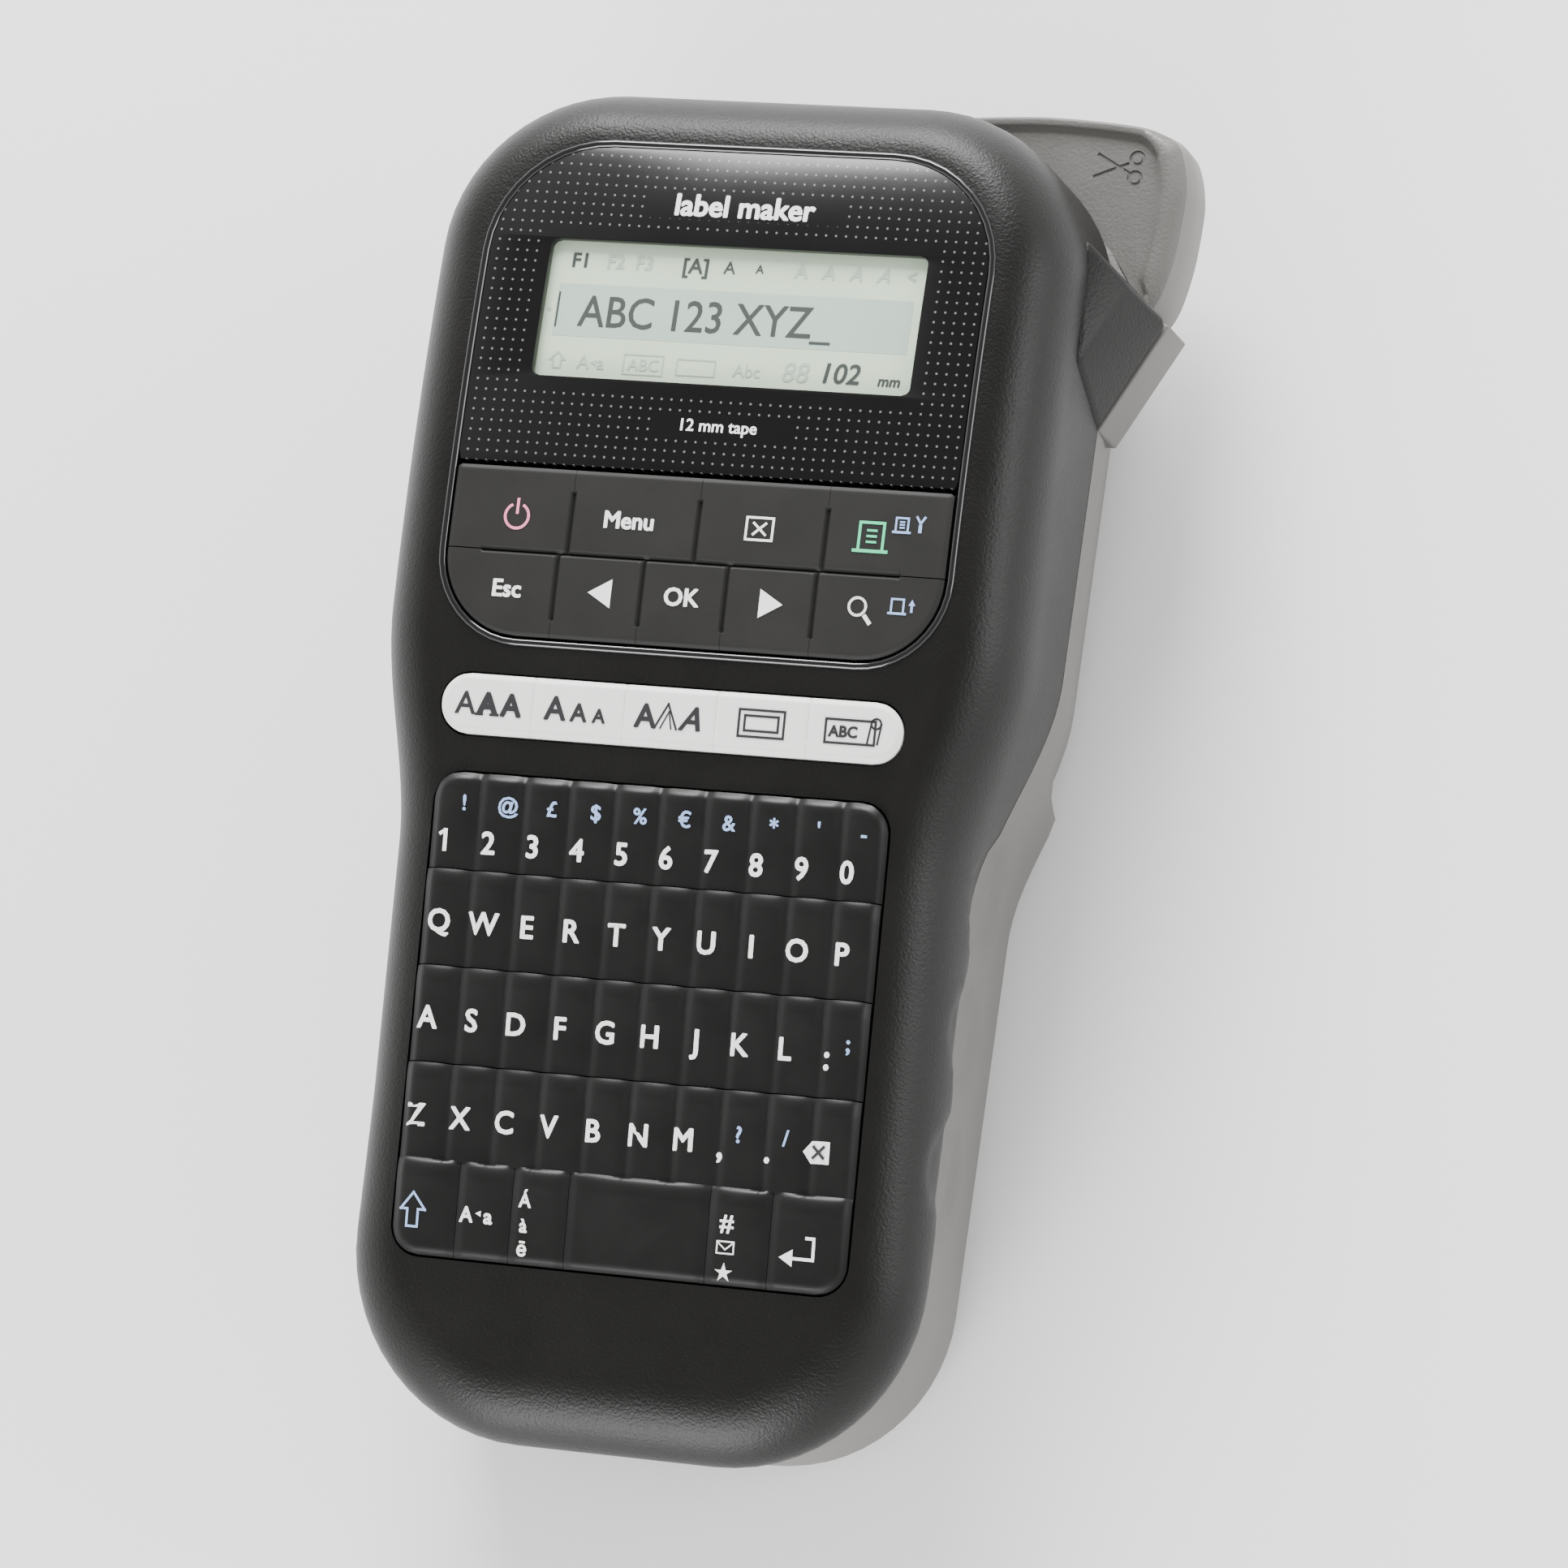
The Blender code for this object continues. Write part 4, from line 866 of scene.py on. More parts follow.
class Loft:
    """A skin that starts as a strip of rows and grows ring by ring from its edge."""

    def __init__(self, name: str, rows: Sequence[Row], height: Callable[[float], float]) -> None:
        """Lay the first face.

        Args:
            name: The piece's name.
            rows: Rows (y, left, right), top to bottom.
            height: Height of the face at each y.
        """
        Bench.clear()
        count = len(rows) - 1
        bpy.ops.mesh.primitive_grid_add(x_subdivisions=1, y_subdivisions=count, size=1.0)
        self.piece = Bench.named(name)
        self.tags: dict[tuple[int, int, int], tuple[int, int]] = {}
        for vertex in self.piece.data.vertices:
            index = count - round((vertex.co.y + 0.5) * count)
            side = 1 if vertex.co.x > 0 else 0
            y, *edges = rows[index]
            vertex.co = Vector((edges[side], y, height(y))) * MM
            self.tags[self.key(vertex.co)] = (index, side)
        Bench.mode("EDIT")
        bpy.ops.mesh.select_mode(type="EDGE")
        bpy.ops.mesh.select_all(action="DESELECT")
        bpy.ops.mesh.select_non_manifold(extend=False, use_wire=False, use_multi_face=False,
                                         use_non_contiguous=False, use_verts=False)

    @staticmethod
    def key(place: Vector) -> tuple[int, int, int]:
        """A place rounded so that it can be looked up."""
        return tuple(round(c * 1e7) for c in place)

    def grow(self, rows: Sequence[Row], height: Callable[[float], float],
             dent: Optional[Callable[[float, float], float]] = None) -> None:
        """Extrude the open edge to the next ring.

        Args:
            rows: The ring's rows.
            height: The ring's height at each y.
            dent: How far the sides are pressed in at (y, z).
        """
        bpy.ops.mesh.extrude_region_move()
        mesh = bmesh.from_edit_mesh(self.piece.data)
        tags: dict[tuple[int, int, int], tuple[int, int]] = {}
        for vertex in mesh.verts:
            if not vertex.select:
                continue
            index, side = self.tags[self.key(vertex.co)]
            y, left, right = rows[index]
            z = height(y)
            press = dent(y, z) if dent else 0.0
            x = right - press if side else left + press
            vertex.co = Vector((x, y, z)) * MM
            tags[self.key(vertex.co)] = (index, side)
        self.tags = tags
        bmesh.update_edit_mesh(self.piece.data)

    def finish(self, wall: float) -> Piece:
        """Turn the skin into a shell with a wall inside it.

        Args:
            wall: The wall's thickness.

        Returns:
            The shell.
        """
        Bench.normals_out(self.piece)
        Bench.apply(self.piece, "SOLIDIFY", thickness=wall * MM, offset=-1.0, use_even_offset=True)
        return self.piece


@dataclass
class Rim:
    """A moulded ring that follows an outline at the height of the front face."""

    outline: RoundBox
    face: Height
    profile: Sequence[Point]

    def build(self, name: str) -> Piece:
        """Grow the ring from its first loop and close it.

        Args:
            name: The piece's name.

        Returns:
            The closed ring; each profile point is (margin, height above the face).
        """
        rings = [[(x, y, self.face(x, y) + lift) for x, y in self.outline.grown(margin).loop()]
                 for margin, lift in self.profile]
        Bench.clear()
        bpy.ops.mesh.primitive_circle_add(vertices=len(rings[0]), radius=1.0, fill_type="NOTHING")
        piece = Bench.named(name)
        Bench.grow_rings(piece, rings)
        bpy.ops.mesh.select_mode(type="EDGE")
        bpy.ops.mesh.select_all(action="DESELECT")
        bpy.ops.mesh.select_non_manifold()
        bpy.ops.mesh.bridge_edge_loops()
        Bench.mode("OBJECT")
        Bench.normals_out(piece)
        Bench.smooth(piece, 50)
        return piece


# ---------------------------------------------------------------- print on a surface

@dataclass
class Printer:
    """Thin solid print: letters, bars and rings laid on a surface."""

    surface: Height
    lift: float = 0.05
    thickness: float = 0.06
    pieces: list[Piece] = field(default_factory=list)

    def lay(self, piece: Piece, x: float, y: float) -> None:
        """Lay a flat mesh on the surface with its own origin at (x, y).

        Args:
            piece: The flat mesh, in metres about its origin.
            x: Where its origin goes.
            y: Where its origin goes.
        """
        Bench.move_points(piece, lambda p: Vector((
            x + p.x, y + p.y, self.surface(x + p.x, y + p.y) + self.lift + p.z)))
        self.pieces.append(piece)

    def text(self, words: str, x: float, y: float, cap: float, weight: float = 0.0,
             lean: float = 0.0, width: float = 1.0) -> None:
        """Print words centred on (x, y).

        Args:
            words: The words.
            x: Their middle.
            y: Middle of the capitals' height.
            cap: Height of a capital.
            weight: How far the strokes are fattened, by copies laid round the first.
            lean: Slant of the letters.
            width: Stretch along the line.
        """
        Bench.clear()
        bpy.ops.object.text_add()
        curve = bpy.context.object.data
        curve.body = words
        curve.size = cap / CAP_SHARE * MM
        curve.extrude = self.thickness / 2 * MM
        curve.resolution_u = 3
        curve.shear = lean
        bpy.ops.object.convert(target="MESH")
        piece = Bench.named("print")
        xs = [vertex.co.x for vertex in piece.data.vertices]
        middle = (min(xs) + max(xs)) / 2
        for vertex in piece.data.vertices:
            vertex.co.x = (vertex.co.x - middle) * width
            vertex.co.y -= cap / 2 * MM
        for i in range(FATTENING_COPIES if weight else 0):
            angle = 2 * math.pi * i / FATTENING_COPIES
            copy = piece.copy()
            copy.data = piece.data.copy()
            bpy.context.scene.collection.objects.link(copy)
            copy.data.transform(Matrix.Translation((0, 0, (i + 1) * COPY_STEP * MM)))
            self.lay(copy, x + weight * math.cos(angle), y + weight * math.sin(angle))
        self.lay(piece, x, y)

    def bar(self, start: Point, end: Point, width: float, ends: float = 0.5) -> None:
        """Print a straight bar.

        Args:
            start: One end.
            end: The other end.
            width: Its width.
            ends: How far it runs past its ends, as a share of its width.
        """
        ax, ay = start
        bx, by = end
        length = math.hypot(bx - ax, by - ay) + 2 * ends * width
        Bench.clear()
        bpy.ops.mesh.primitive_cube_add(size=1.0)
        piece = Bench.named("print")
        piece.scale = Vector((length, width, self.thickness)) * MM
        piece.rotation_euler = (0, 0, math.atan2(by - ay, bx - ax))
        Bench.settle(piece)
        self.lay(piece, (ax + bx) / 2, (ay + by) / 2)

    def path(self, points: Sequence[Point], width: float, closed: bool = False) -> None:
        """Print a run of bars.

        Args:
            points: The run's corners.
            width: Its width.
            closed: Whether it returns to its start.
        """
        ends = list(points[1:]) + ([points[0]] if closed else [])
        for start, end in zip(points, ends):
            self.bar(start, end, width)

    def arc(self, x: float, y: float, radius: float, width: float, start: float = 0.0,
            sweep: float = 360.0, steps: int = 20) -> None:
        """Print a round line.

        Args:
            x: Its centre.
            y: Its centre.
            radius: Its radius.
            width: The line's width.
            start: Where it starts, in degrees.
            sweep: How far it turns.
            steps: Straight pieces in it.
        """
        angles = [math.radians(start + sweep * i / steps) for i in range(steps + 1)]
        points = [(x + radius * math.cos(a), y + radius * math.sin(a)) for a in angles]
        for first, second in zip(points, points[1:]):
            self.bar(first, second, width, ends=0.15)

    def frame(self, x: float, y: float, width: float, height: float, line: float,
              skew: float = 0.0) -> None:
        """Print a rectangle's outline, its top edge shifted by a skew."""
        half, rise = width / 2, height / 2
        self.path([(x - half, y - rise), (x + half, y - rise), (x + half + skew, y + rise),
                   (x - half + skew, y + rise)], line, closed=True)

    def polygon(self, points: Sequence[Row], x: float, y: float) -> None:
        """Print a filled shape; its rows (y, left, right) are relative to (x, y)."""
        rows = len(points) - 1

        def place(across: float, along: float) -> Vector:
            """A point of the row nearest to its share along."""
            low, left, right = points[round(along * rows)]
            return Vector((left + (right - left) * across, low, self.thickness / 2))

        piece = Bench.sheet("print", 6, rows, place)
        Bench.thicken(piece, self.thickness)
        self.lay(piece, x, y)

    def patch(self, x: float, y: float, width: float, height: float) -> None:
        """Print a filled rectangle that follows the surface."""
        piece = Bench.sheet("print", 4, 4, lambda across, along: Vector((
            (across - 0.5) * width, (along - 0.5) * height, self.thickness / 2)))
        Bench.thicken(piece, self.thickness)
        self.lay(piece, x, y)

    def collect(self, name: str) -> Optional[Piece]:
        """Join what has been printed into one piece, or return nothing."""
        if not self.pieces:
            return None
        piece = Bench.join(name, self.pieces)
        self.pieces = []
        return piece


# ---------------------------------------------------------------- sub-assemblies

@dataclass
class Maker:
    """What every sub-assembly shares: the face, the plan, the finishes and the layout."""

    face: FrontFace
    plan: BodyPlan
    wardrobe: Wardrobe
    layout: "Layout"

    def on_face(self, lift: float = 0.0) -> Height:
        """Height function parallel to the front face."""
        return lambda x, y: self.face.height(y) + lift

    def file(self, piece: Piece, look: Look, body: str, slot: str,
             replaces: Sequence[str] = (), smooth: float = 0.0) -> None:
        """Dress a piece, attach it to the body it rides on and hide the CAD nodes it stands for.

        Args:
            piece: The piece.
            look: Its finish.
            body: The body it moves with.
            slot: The record's material slot; not used.
            replaces: CAD nodes it stands for.
            smooth: Edges below this many degrees are shaded smooth first.
        """
        if smooth:
            Bench.smooth(piece, smooth)
        self.wardrobe.wear(piece, look)
        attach(piece, body)
        if replaces:
            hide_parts(*replaces)
        LOG.info("%s: %d faces on %s", piece.name, len(piece.data.polygons), body)


@dataclass
class Layout:
    """Windows of the front, from the CAD pieces that fill them."""

    console: RoundBox
    strip: RoundBox
    keypad: RoundBox
    window: RoundBox
    lever_pin: Point
    exit_line: float

    @classmethod
    def from_frame(cls) -> "Layout":
        """Read the windows' places from the CAD nodes.

        Returns:
            The layout.
        """
        panel_low, panel_high = node_box("display_panel")
        escape_low, _ = node_box("fn_escape")
        strip_low, strip_high = node_box("style_font")
        _, strip_far = node_box("style_label")
        digits_low, digits_high = node_box("key_row_digits")
        shift_low, _ = node_box("key_shift")
        cell_low, cell_high = node_box("display_cell")
        border = 3.5
        gap = 0.35
        key_corner = 4.4
        window_corner = 1.3
        return cls(
            console=RoundBox(panel_low.x, panel_high.x, escape_low.y - gap, panel_high.y, 13.5, 18.0),
            strip=RoundBox(strip_low.x, strip_far.x, strip_low.y, strip_high.y, key_corner, key_corner),
            keypad=RoundBox(digits_low.x, digits_high.x, shift_low.y, digits_high.y, key_corner,
                            key_corner),
            window=RoundBox(cell_low.x + border + 0.35, cell_high.x - border - 0.4,
                            cell_low.y + border + 0.4, cell_high.y - border - 0.3, window_corner,
                            window_corner),
            lever_pin=middle_of("lever_pin")[:2],
            exit_line=node_box("tape_cassette")[1].y + 0.7)


@dataclass
class FrontShell(Maker):
    """The black front housing with its soft edge, three windows and hood."""

    wall: float = 2.2
    edge_across: float = 10.0
    edge_down: float = 13.0
    edge_share: float = 0.72
    edge_steps: int = 12
    wall_steps: int = 8
    gap: float = 0.35
    panel_gap: float = 0.2
    hood_rise: float = 15.0

    def drop(self, y: float) -> float:
        """Depth of the soft edge, less where the body is thin."""
        return min(self.edge_down, self.edge_share * (self.face.height(y) - self.plan.parting))

    def build(self) -> None:
        """Loft the shell, open its windows and add the hood."""
        plan, face = self.plan, self.face
        loft = Loft("front_shell_skin", plan.rows(lambda y: self.edge_across), face.height)
        for i in range(1, self.edge_steps + 1):
            angle = math.pi / 2 * i / self.edge_steps
            inset = self.edge_across * (1 - math.sin(angle))
            share = 1 - math.cos(angle)
            loft.grow(plan.rows(lambda y, inset=inset: inset),
                      lambda y, share=share: face.height(y) - share * self.drop(y), plan.dent)
        foot = plan.parting + JOINT_GAP
        for i in range(1, self.wall_steps + 1):
            share = i / self.wall_steps
            rows = plan.rows(lambda y, share=share: share ** 2 * plan.parting_inset(y))
            loft.grow(rows, lambda y, share=share: (
                (face.height(y) - self.drop(y)) * (1 - share) + foot * share), plan.dent)
        shell = loft.finish(self.wall)
        Bench.apply(shell, "TRIANGULATE")
        for area in (self.layout.console.grown(self.panel_gap), self.layout.strip.grown(self.gap),
                     self.layout.keypad.grown(self.gap)):
            Bench.cut(shell, self.window_tool(area))
        self.file(shell, Look.BLACK_SHELL, "body", "shell_black", ["front_shell"], smooth=30)
        self.hood()

    def window_tool(self, area: RoundBox) -> Piece:
        """A block through the front face with one window's outline.

        Args:
            area: The window.

        Returns:
            The tool.
        """
        above = 4.0
        depth = 13.0
        return Bench.round_block("window_tool", area, 40, lambda y: self.face.height(y) + above, depth,
                                 lambda along: (1 - math.cos(math.pi * along)) / 2)

    def hood(self) -> None:
        """The pointed hood that the cut label leaves under."""
        wall, line = self.plan.wall_x, self.layout.exit_line
        foot, top = self.plan.parting + JOINT_GAP, self.plan.parting + JOINT_GAP + self.hood_rise
        (tip_x, tip_y), (foot_x, foot_y) = GUARD_TIP, GUARD_FOOT
        inside, far, crest = wall - 3.0, line + 6.6, line - 12.6
        points = [(wall + tip_x, line + tip_y, foot), (wall + foot_x, line + foot_y, foot),
                  (wall + 0.4, crest, top), (wall + 4.8, line + 0.8, foot + 9.0),
                  (wall - 1.6, far, top), (inside, far, foot), (inside, line + foot_y, foot),
                  (inside, crest, top)]
        Bench.clear()
        bpy.ops.mesh.primitive_cube_add(size=1.0)
        hood = Bench.named("label_hood")
        for vertex, place in zip(hood.data.vertices, points):
            vertex.co = Vector(place) * MM
        Bench.mode("EDIT")
        bpy.ops.mesh.select_all(action="SELECT")
        bpy.ops.mesh.convex_hull()
        Bench.mode("OBJECT")
        Bench.normals_out(hood)
        Bench.soft_edges(hood, 1.1, 4, 20)
        self.file(hood, Look.BLACK_SHELL, "body", "shell_black", smooth=60)


@dataclass
class RearShell(Maker):
    """The grey rear housing, its guard, screws, socket and lift-off cover."""

    wall: float = 2.4
    foot: float = 3.0
    edge: float = 2.5
    edge_in: float = 2.0
    edge_steps: int = 6
    wall_steps: int = 10
    taper_ends: Point = (-3.5, 26.0)
    bay_depth: float = 9.0
    cover_corner: float = 8.0
    cover_wall: float = 1.2
    cover_floor: float = 1.4

    def build(self) -> None:
        """Make every piece of the back."""
        self.shell()
        self.guard()
        self.cover()
        self.screws()
        self.socket()

    def shell(self) -> None:
        """Loft the housing and cut its bays, the lever's slot, the exit and the holes."""
        plan = self.plan
        loft = Loft("rear_shell_skin", plan.rows(lambda y: plan.rear_inset(y) + self.edge_in),
                    lambda y: self.foot)
        for i in range(1, self.edge_steps + 1):
            angle = math.pi / 2 * i / self.edge_steps
            inset = self.edge_in * (1 - math.sin(angle))
            rise = self.edge * (1 - math.cos(angle))
            loft.grow(plan.rows(lambda y, inset=inset: plan.rear_inset(y) + inset),
                      lambda y, rise=rise: self.foot + rise)
        start = self.foot + self.edge
        top = plan.parting - JOINT_GAP
        for i in range(1, self.wall_steps + 1):
            z = start + (top - start) * i / self.wall_steps
            share = smooth_step(z, *(self.foot + reach for reach in self.taper_ends))
            rows = plan.rows(lambda y, share=share: (1 - share) * plan.rear_inset(y)
                             + share * plan.parting_inset(y))
            loft.grow(rows, lambda y, z=z: z, plan.dent)
        shell = loft.finish(self.wall)
        Bench.apply(shell, "TRIANGULATE")
        for tool in self.tools():
            Bench.cut(shell, tool)
        self.file(shell, Look.GREY_SHELL, "body", "shell_grey", ["rear_shell"], smooth=30)

    def tools(self) -> list[Piece]:
        """The solids that open the housing.

        Returns:
            The tools, in the order that they cut.
        """
        lever_low, _ = node_box("cutter_lever")
        wall, line = self.plan.wall_x, self.layout.exit_line
        pin_x, pin_y = self.layout.lever_pin
        far, past = wall + 30, self.plan.top + 30
        slot_left, slot_end = pin_x - 8.5, line - 13.4
        slot = [(slot_left, pin_y - 7.5), (wall - 6.0, slot_end), (wall + 0.55, slot_end),
                (wall + 6.9, line - 1.2), (far, line - 0.8), (far, past), (slot_left, past)]
        tools = [Bench.outline_prism("slot_tool", slot, lever_low.z - 0.5, self.plan.parting + 1)]
        exit_half = 3.0
        tools.append(self.block("exit_tool", (wall - 14, line - exit_half, self.foot + self.wall - 0.5),
                                (wall + 4, line + exit_half, lever_low.z)))
        for name, gap in (("tape_cassette", 0.9), ("battery_tray", 0.3)):
            low, high = node_box(name)
            tools.append(self.block(name + "_tool", (low.x - gap, low.y - gap, -1.0),
                                    (high.x + gap, high.y + gap, self.bay_depth)))
        bore, head, step = 1.7, 2.9, self.foot + 1.2
        for i in range(1, 5):
            x, y, _ = middle_of(f"case_screw_{i}")
            tools.append(Bench.lathe("screw_tool", [
                (0, self.bay_depth), (bore, self.bay_depth), (bore, step), (head, step), (head, 0.0),
                (0, 0.0)], (x, y, 0.0), steps=32))
        low, high = node_box("power_socket")
        x, _, z = middle_of("power_socket")
        radius = (high.x - low.x) / 2 + 0.3
        mouth, before, depth = radius + 1.6, -6.0, 16.0
        tools.append(Bench.lathe("socket_tool", [
            (0, depth), (radius, depth), (radius, 1.6), (mouth, -0.4), (mouth, before), (0, before)],
            (x, self.plan.bottom, z), axis="Y", steps=40))
        return tools

    @staticmethod
    def block(name: str, low: Sequence[float], high: Sequence[float]) -> Piece:
        """A plain block between two corners."""
        Bench.clear()
        bpy.ops.mesh.primitive_cube_add(size=1.0)
        piece = Bench.named(name)
        size = Vector(high) - Vector(low)
        piece.scale = size * MM
        piece.location = (Vector(low) + size / 2) * MM
        return Bench.settle(piece)

    def guard(self) -> None:
        """The block under the hood, round the end of the lever's slot."""
        wall, line = self.plan.wall_x, self.layout.exit_line
        lever_low, _ = node_box("cutter_lever")
        inside, slot_end = wall - 2.2, line - 13.6
        outline = [(wall + x, line + y) for x, y in (GUARD_TIP, GUARD_FOOT)]
        outline += [(inside, line - 19.0), (inside, slot_end), (wall + 0.75, slot_end),
                    (wall + 7.3, line - 1.5)]
        guard = Bench.outline_prism("exit_guard", outline, lever_low.z + 0.8,
                                    self.plan.parting - JOINT_GAP)
        Bench.soft_edges(guard, 0.35, 3, 30)
        self.file(guard, Look.GREY_SHELL, "body", "shell_grey", smooth=50)

    def cover(self) -> None:
        """The lift-off cover with its thumb ribs and rating recess."""
        low, high = node_box("back_cover")
        area = RoundBox(low.x, high.x, low.y, high.y, self.cover_corner, self.cover_corner)
        cover = Bench.round_block("cover_panel", area, 96, lambda y: high.z, high.z - low.z)
        above = high.z + 2
        Bench.cut(cover, Bench.round_block("pocket_tool", area.grown(-self.cover_wall), 60,
                                           lambda y: above, above - self.cover_floor))
        middle, below = (low.x + high.x) / 2, -1.0
        half = 24
        recess = self.block("label_recess", (middle - half, low.y + 34, below),
                            (middle + half, low.y + 66, 0.35))
        Bench.soft_edges(recess, 1.5, 4, 60)
        Bench.cut(cover, recess)
        width, pitch, first = 1.1, 2.4, 9.0
        for i in range(7):
            y = high.y - first - pitch * i
            half = 13.0 - 0.6 * abs(i - 3)
            groove = self.block("thumb_groove", (middle - half, y - width / 2, below),
                                (middle + half, y + width / 2, 0.6))
            Bench.cut(cover, groove)
        Bench.soft_edges(cover, 0.45, 3, 50)
        self.file(cover, Look.GREY_SHELL, "cover", "shell_grey", ["back_cover"], smooth=40)

    def screws(self) -> None:
        """Four screws with domed heads and a cross drive."""
        shank, head_radius, head_height = 1.4, 2.6, 0.8
        reach, half_width, depth, turned = 1.5, 0.28, 0.45, 0.4
        for i in range(1, 5):
            low, high = node_box(f"case_screw_{i}")
            x, y, _ = middle_of(f"case_screw_{i}")
            head = low.z + head_height
            screw = Bench.lathe(f"shell_screw_{i}", [
                (0, high.z), (shank, high.z - 0.6), (shank, head), (head_radius, head),
                (head_radius, low.z + 0.35), (2.25, low.z + 0.08), (1.5, low.z), (0, low.z)],
                (x, y, 0), steps=40)
            for turn in (0.0, math.pi / 2):
                drive = self.block("drive_tool", (-reach, -half_width, -1.0), (reach, half_width, depth))
                drive.rotation_euler = (0, 0, turn + turned)
                drive.location = Vector((x, y, low.z)) * MM
                Bench.settle(drive)
                Bench.cut(screw, drive)
            self.file(screw, Look.DARK_STEEL, "body", "steel", [f"case_screw_{i}"], smooth=35)

    def socket(self) -> None:
        """The power socket's sleeve and its centre pin."""
        low, high = node_box("power_socket")
        x, _, z = middle_of("power_socket")
        radius = (high.x - low.x) / 2
        length = high.y - low.y
        bore, floor = 2.75, length - 2
        sleeve = Bench.lathe("socket_sleeve", [
            (0, length), (radius, length), (radius, 0.4), (radius - 0.4, 0.0), (bore + 0.2, 0.0),
            (bore, 0.25), (bore, floor), (0, floor)], (x, low.y, z), axis="Y")
        self.file(sleeve, Look.GLOSS_BLACK, "body", "socket_black", ["power_socket"], smooth=35)
        root, pin_radius = length - 2.2, 1.0
        pin = Bench.lathe("socket_pin", [
            (0, root), (pin_radius, root), (pin_radius, 2.0), (0.75, 1.6), (0, 1.5)],
            (x, low.y, z), axis="Y", steps=24)
        self.file(pin, Look.STEEL, "body", "steel", smooth=35)


@dataclass
class Display(Maker):
    """The dotted glossy panel, its rim, the screen behind it and what it shows."""

    rim_in: float = 0.95
    panel_drop: float = 0.02
    panel_depth: float = 1.3
    screen_drop: float = 1.5
    screen_depth: float = 2.4
    screen_border: float = 1.5

    def build(self) -> None:
        """Make the rim, the panel, the screen and the print."""
        face = self.on_face()
        profile = [(0.25, -1.6), (0.25, -0.05), (0.12, 0.22), (-0.15, 0.34), (-0.5, 0.3), (-0.78, 0.12),
                   (-0.9, -0.2), (-0.9, -1.6)]
        rim = Rim(self.layout.console, face, profile).build("console_rim")
        self.file(rim, Look.GLOSS_BLACK, "body", "panel_gloss")
        self.panel()
        self.screen()
        self.print_on_panel()

    def panel(self) -> None:
        """The panel with the window cut through it."""
        low, _ = node_box("display_panel")
        console = self.layout.console
        area = RoundBox(console.left + self.rim_in, console.right - self.rim_in, low.y + 0.05,
                        console.top - self.rim_in, 0.3, console.high_corner - self.rim_in)
        panel = Bench.round_block("window_panel", area, 60,
                                  lambda y: self.face.height(y) - self.panel_drop, self.panel_depth,
                                  lambda along: math.sin(along * math.pi / 2))
        Bench.cut(panel, Bench.round_block("window_tool", self.layout.window, 72,
                                           lambda y: self.face.height(y) + 2, 6.0))
        Bench.soft_edges(panel, 0.22, 2, 55)
        self.file(panel, Look.PANEL, "body", "panel_gloss", ["display_panel"], smooth=40)

    def screen(self) -> None:
        """The liquid crystal cell, deeper than the panel, inside a dark frame."""
        window = self.layout.window
        border = self.screen_border
        width = window.right - window.left
        height = window.top - window.bottom

        def place(across: float, along: float) -> Vector:
            """A point of the cell, which runs past the window on all sides."""
            y = window.bottom - border + (height + 2 * border) * along
            x = window.left - border + (width + 2 * border) * across
            return Vector((x, y, self.face.height(y) - self.screen_drop))

        screen = Bench.sheet("screen_cell", 2, 12, place)
        Bench.thicken(screen, self.screen_depth)
        self.file(screen, Look.SCREEN, "body", "display_glass", ["display_cell"], smooth=40)
        printer = Printer(self.on_face(-self.screen_drop), lift=0.02, thickness=0.03)

        def spot(across: float, up: float) -> Point:
            """Place on the screen from shares across and up."""
            return window.left + width * across, window.bottom + height * up

        printer.patch(*spot(0.5, 0.5), width * 0.94, height * 0.38)
        self.file(printer.collect("screen_band"), Look.BAND_INK, "body", "display_glass")
        self.screen_text(printer, spot)

    def screen_text(self, printer: Printer, spot: Callable[[float, float], Point]) -> None:
        """The dark and the faint segments.

        Args:
            printer: Prints on the screen.
            spot: Place on the screen from shares across and up.
        """
        printer.lift = 0.05
        high, low, small = 0.865, 0.13, 2.1
        for words, across, cap, weight in (("F1", 0.075, 2.2, 0.08), ("[A]", 0.385, 2.3, 0.07),
                                           ("A", 0.475, 1.9, 0.02), ("A", 0.555, 1.3, 0.02)):
            printer.text(words, *spot(across, high), cap, weight=weight)
        printer.text("ABC 123 XYZ_", *spot(0.43, 0.5), 4.8, weight=0.05, width=0.9)
        printer.bar(spot(0.035, 0.62), spot(0.035, 0.38), 0.3)
        printer.text("102", *spot(0.81, 0.15), 3.0, weight=0.07, lean=0.15)
        printer.text("mm", *spot(0.935, 0.115), 1.6, weight=0.05, lean=0.15)
        self.file(printer.collect("screen_segments"), Look.SCREEN_INK, "body", "display_glass")
        printer.text("F2  F3", *spot(0.21, high), small, weight=0.04)
        for i in range(4):
            printer.text("A", *spot(0.665 + 0.072 * i, high), small, weight=0.02, lean=0.1 * i)
        printer.text("<", *spot(0.955, high), small, weight=0.02)
        printer.text("⇧", *spot(0.055, low), 2.4)
        printer.text("A◂a", *spot(0.145, low), small)
        printer.frame(*spot(0.285, low), 6.2, 3.0, 0.16)
        printer.text("ABC", *spot(0.285, low), 1.8)
        printer.frame(*spot(0.425, low), 6.0, 2.4, 0.16)
        printer.text("Abc", *spot(0.56, low), 1.9)
        printer.text("88", *spot(0.69, 0.14), 3.0, lean=0.15)
        printer.text("◂", *spot(0.012, 0.5), 1.6)
        self.file(printer.collect("screen_ghosts"), Look.GHOST_INK, "body", "display_glass")

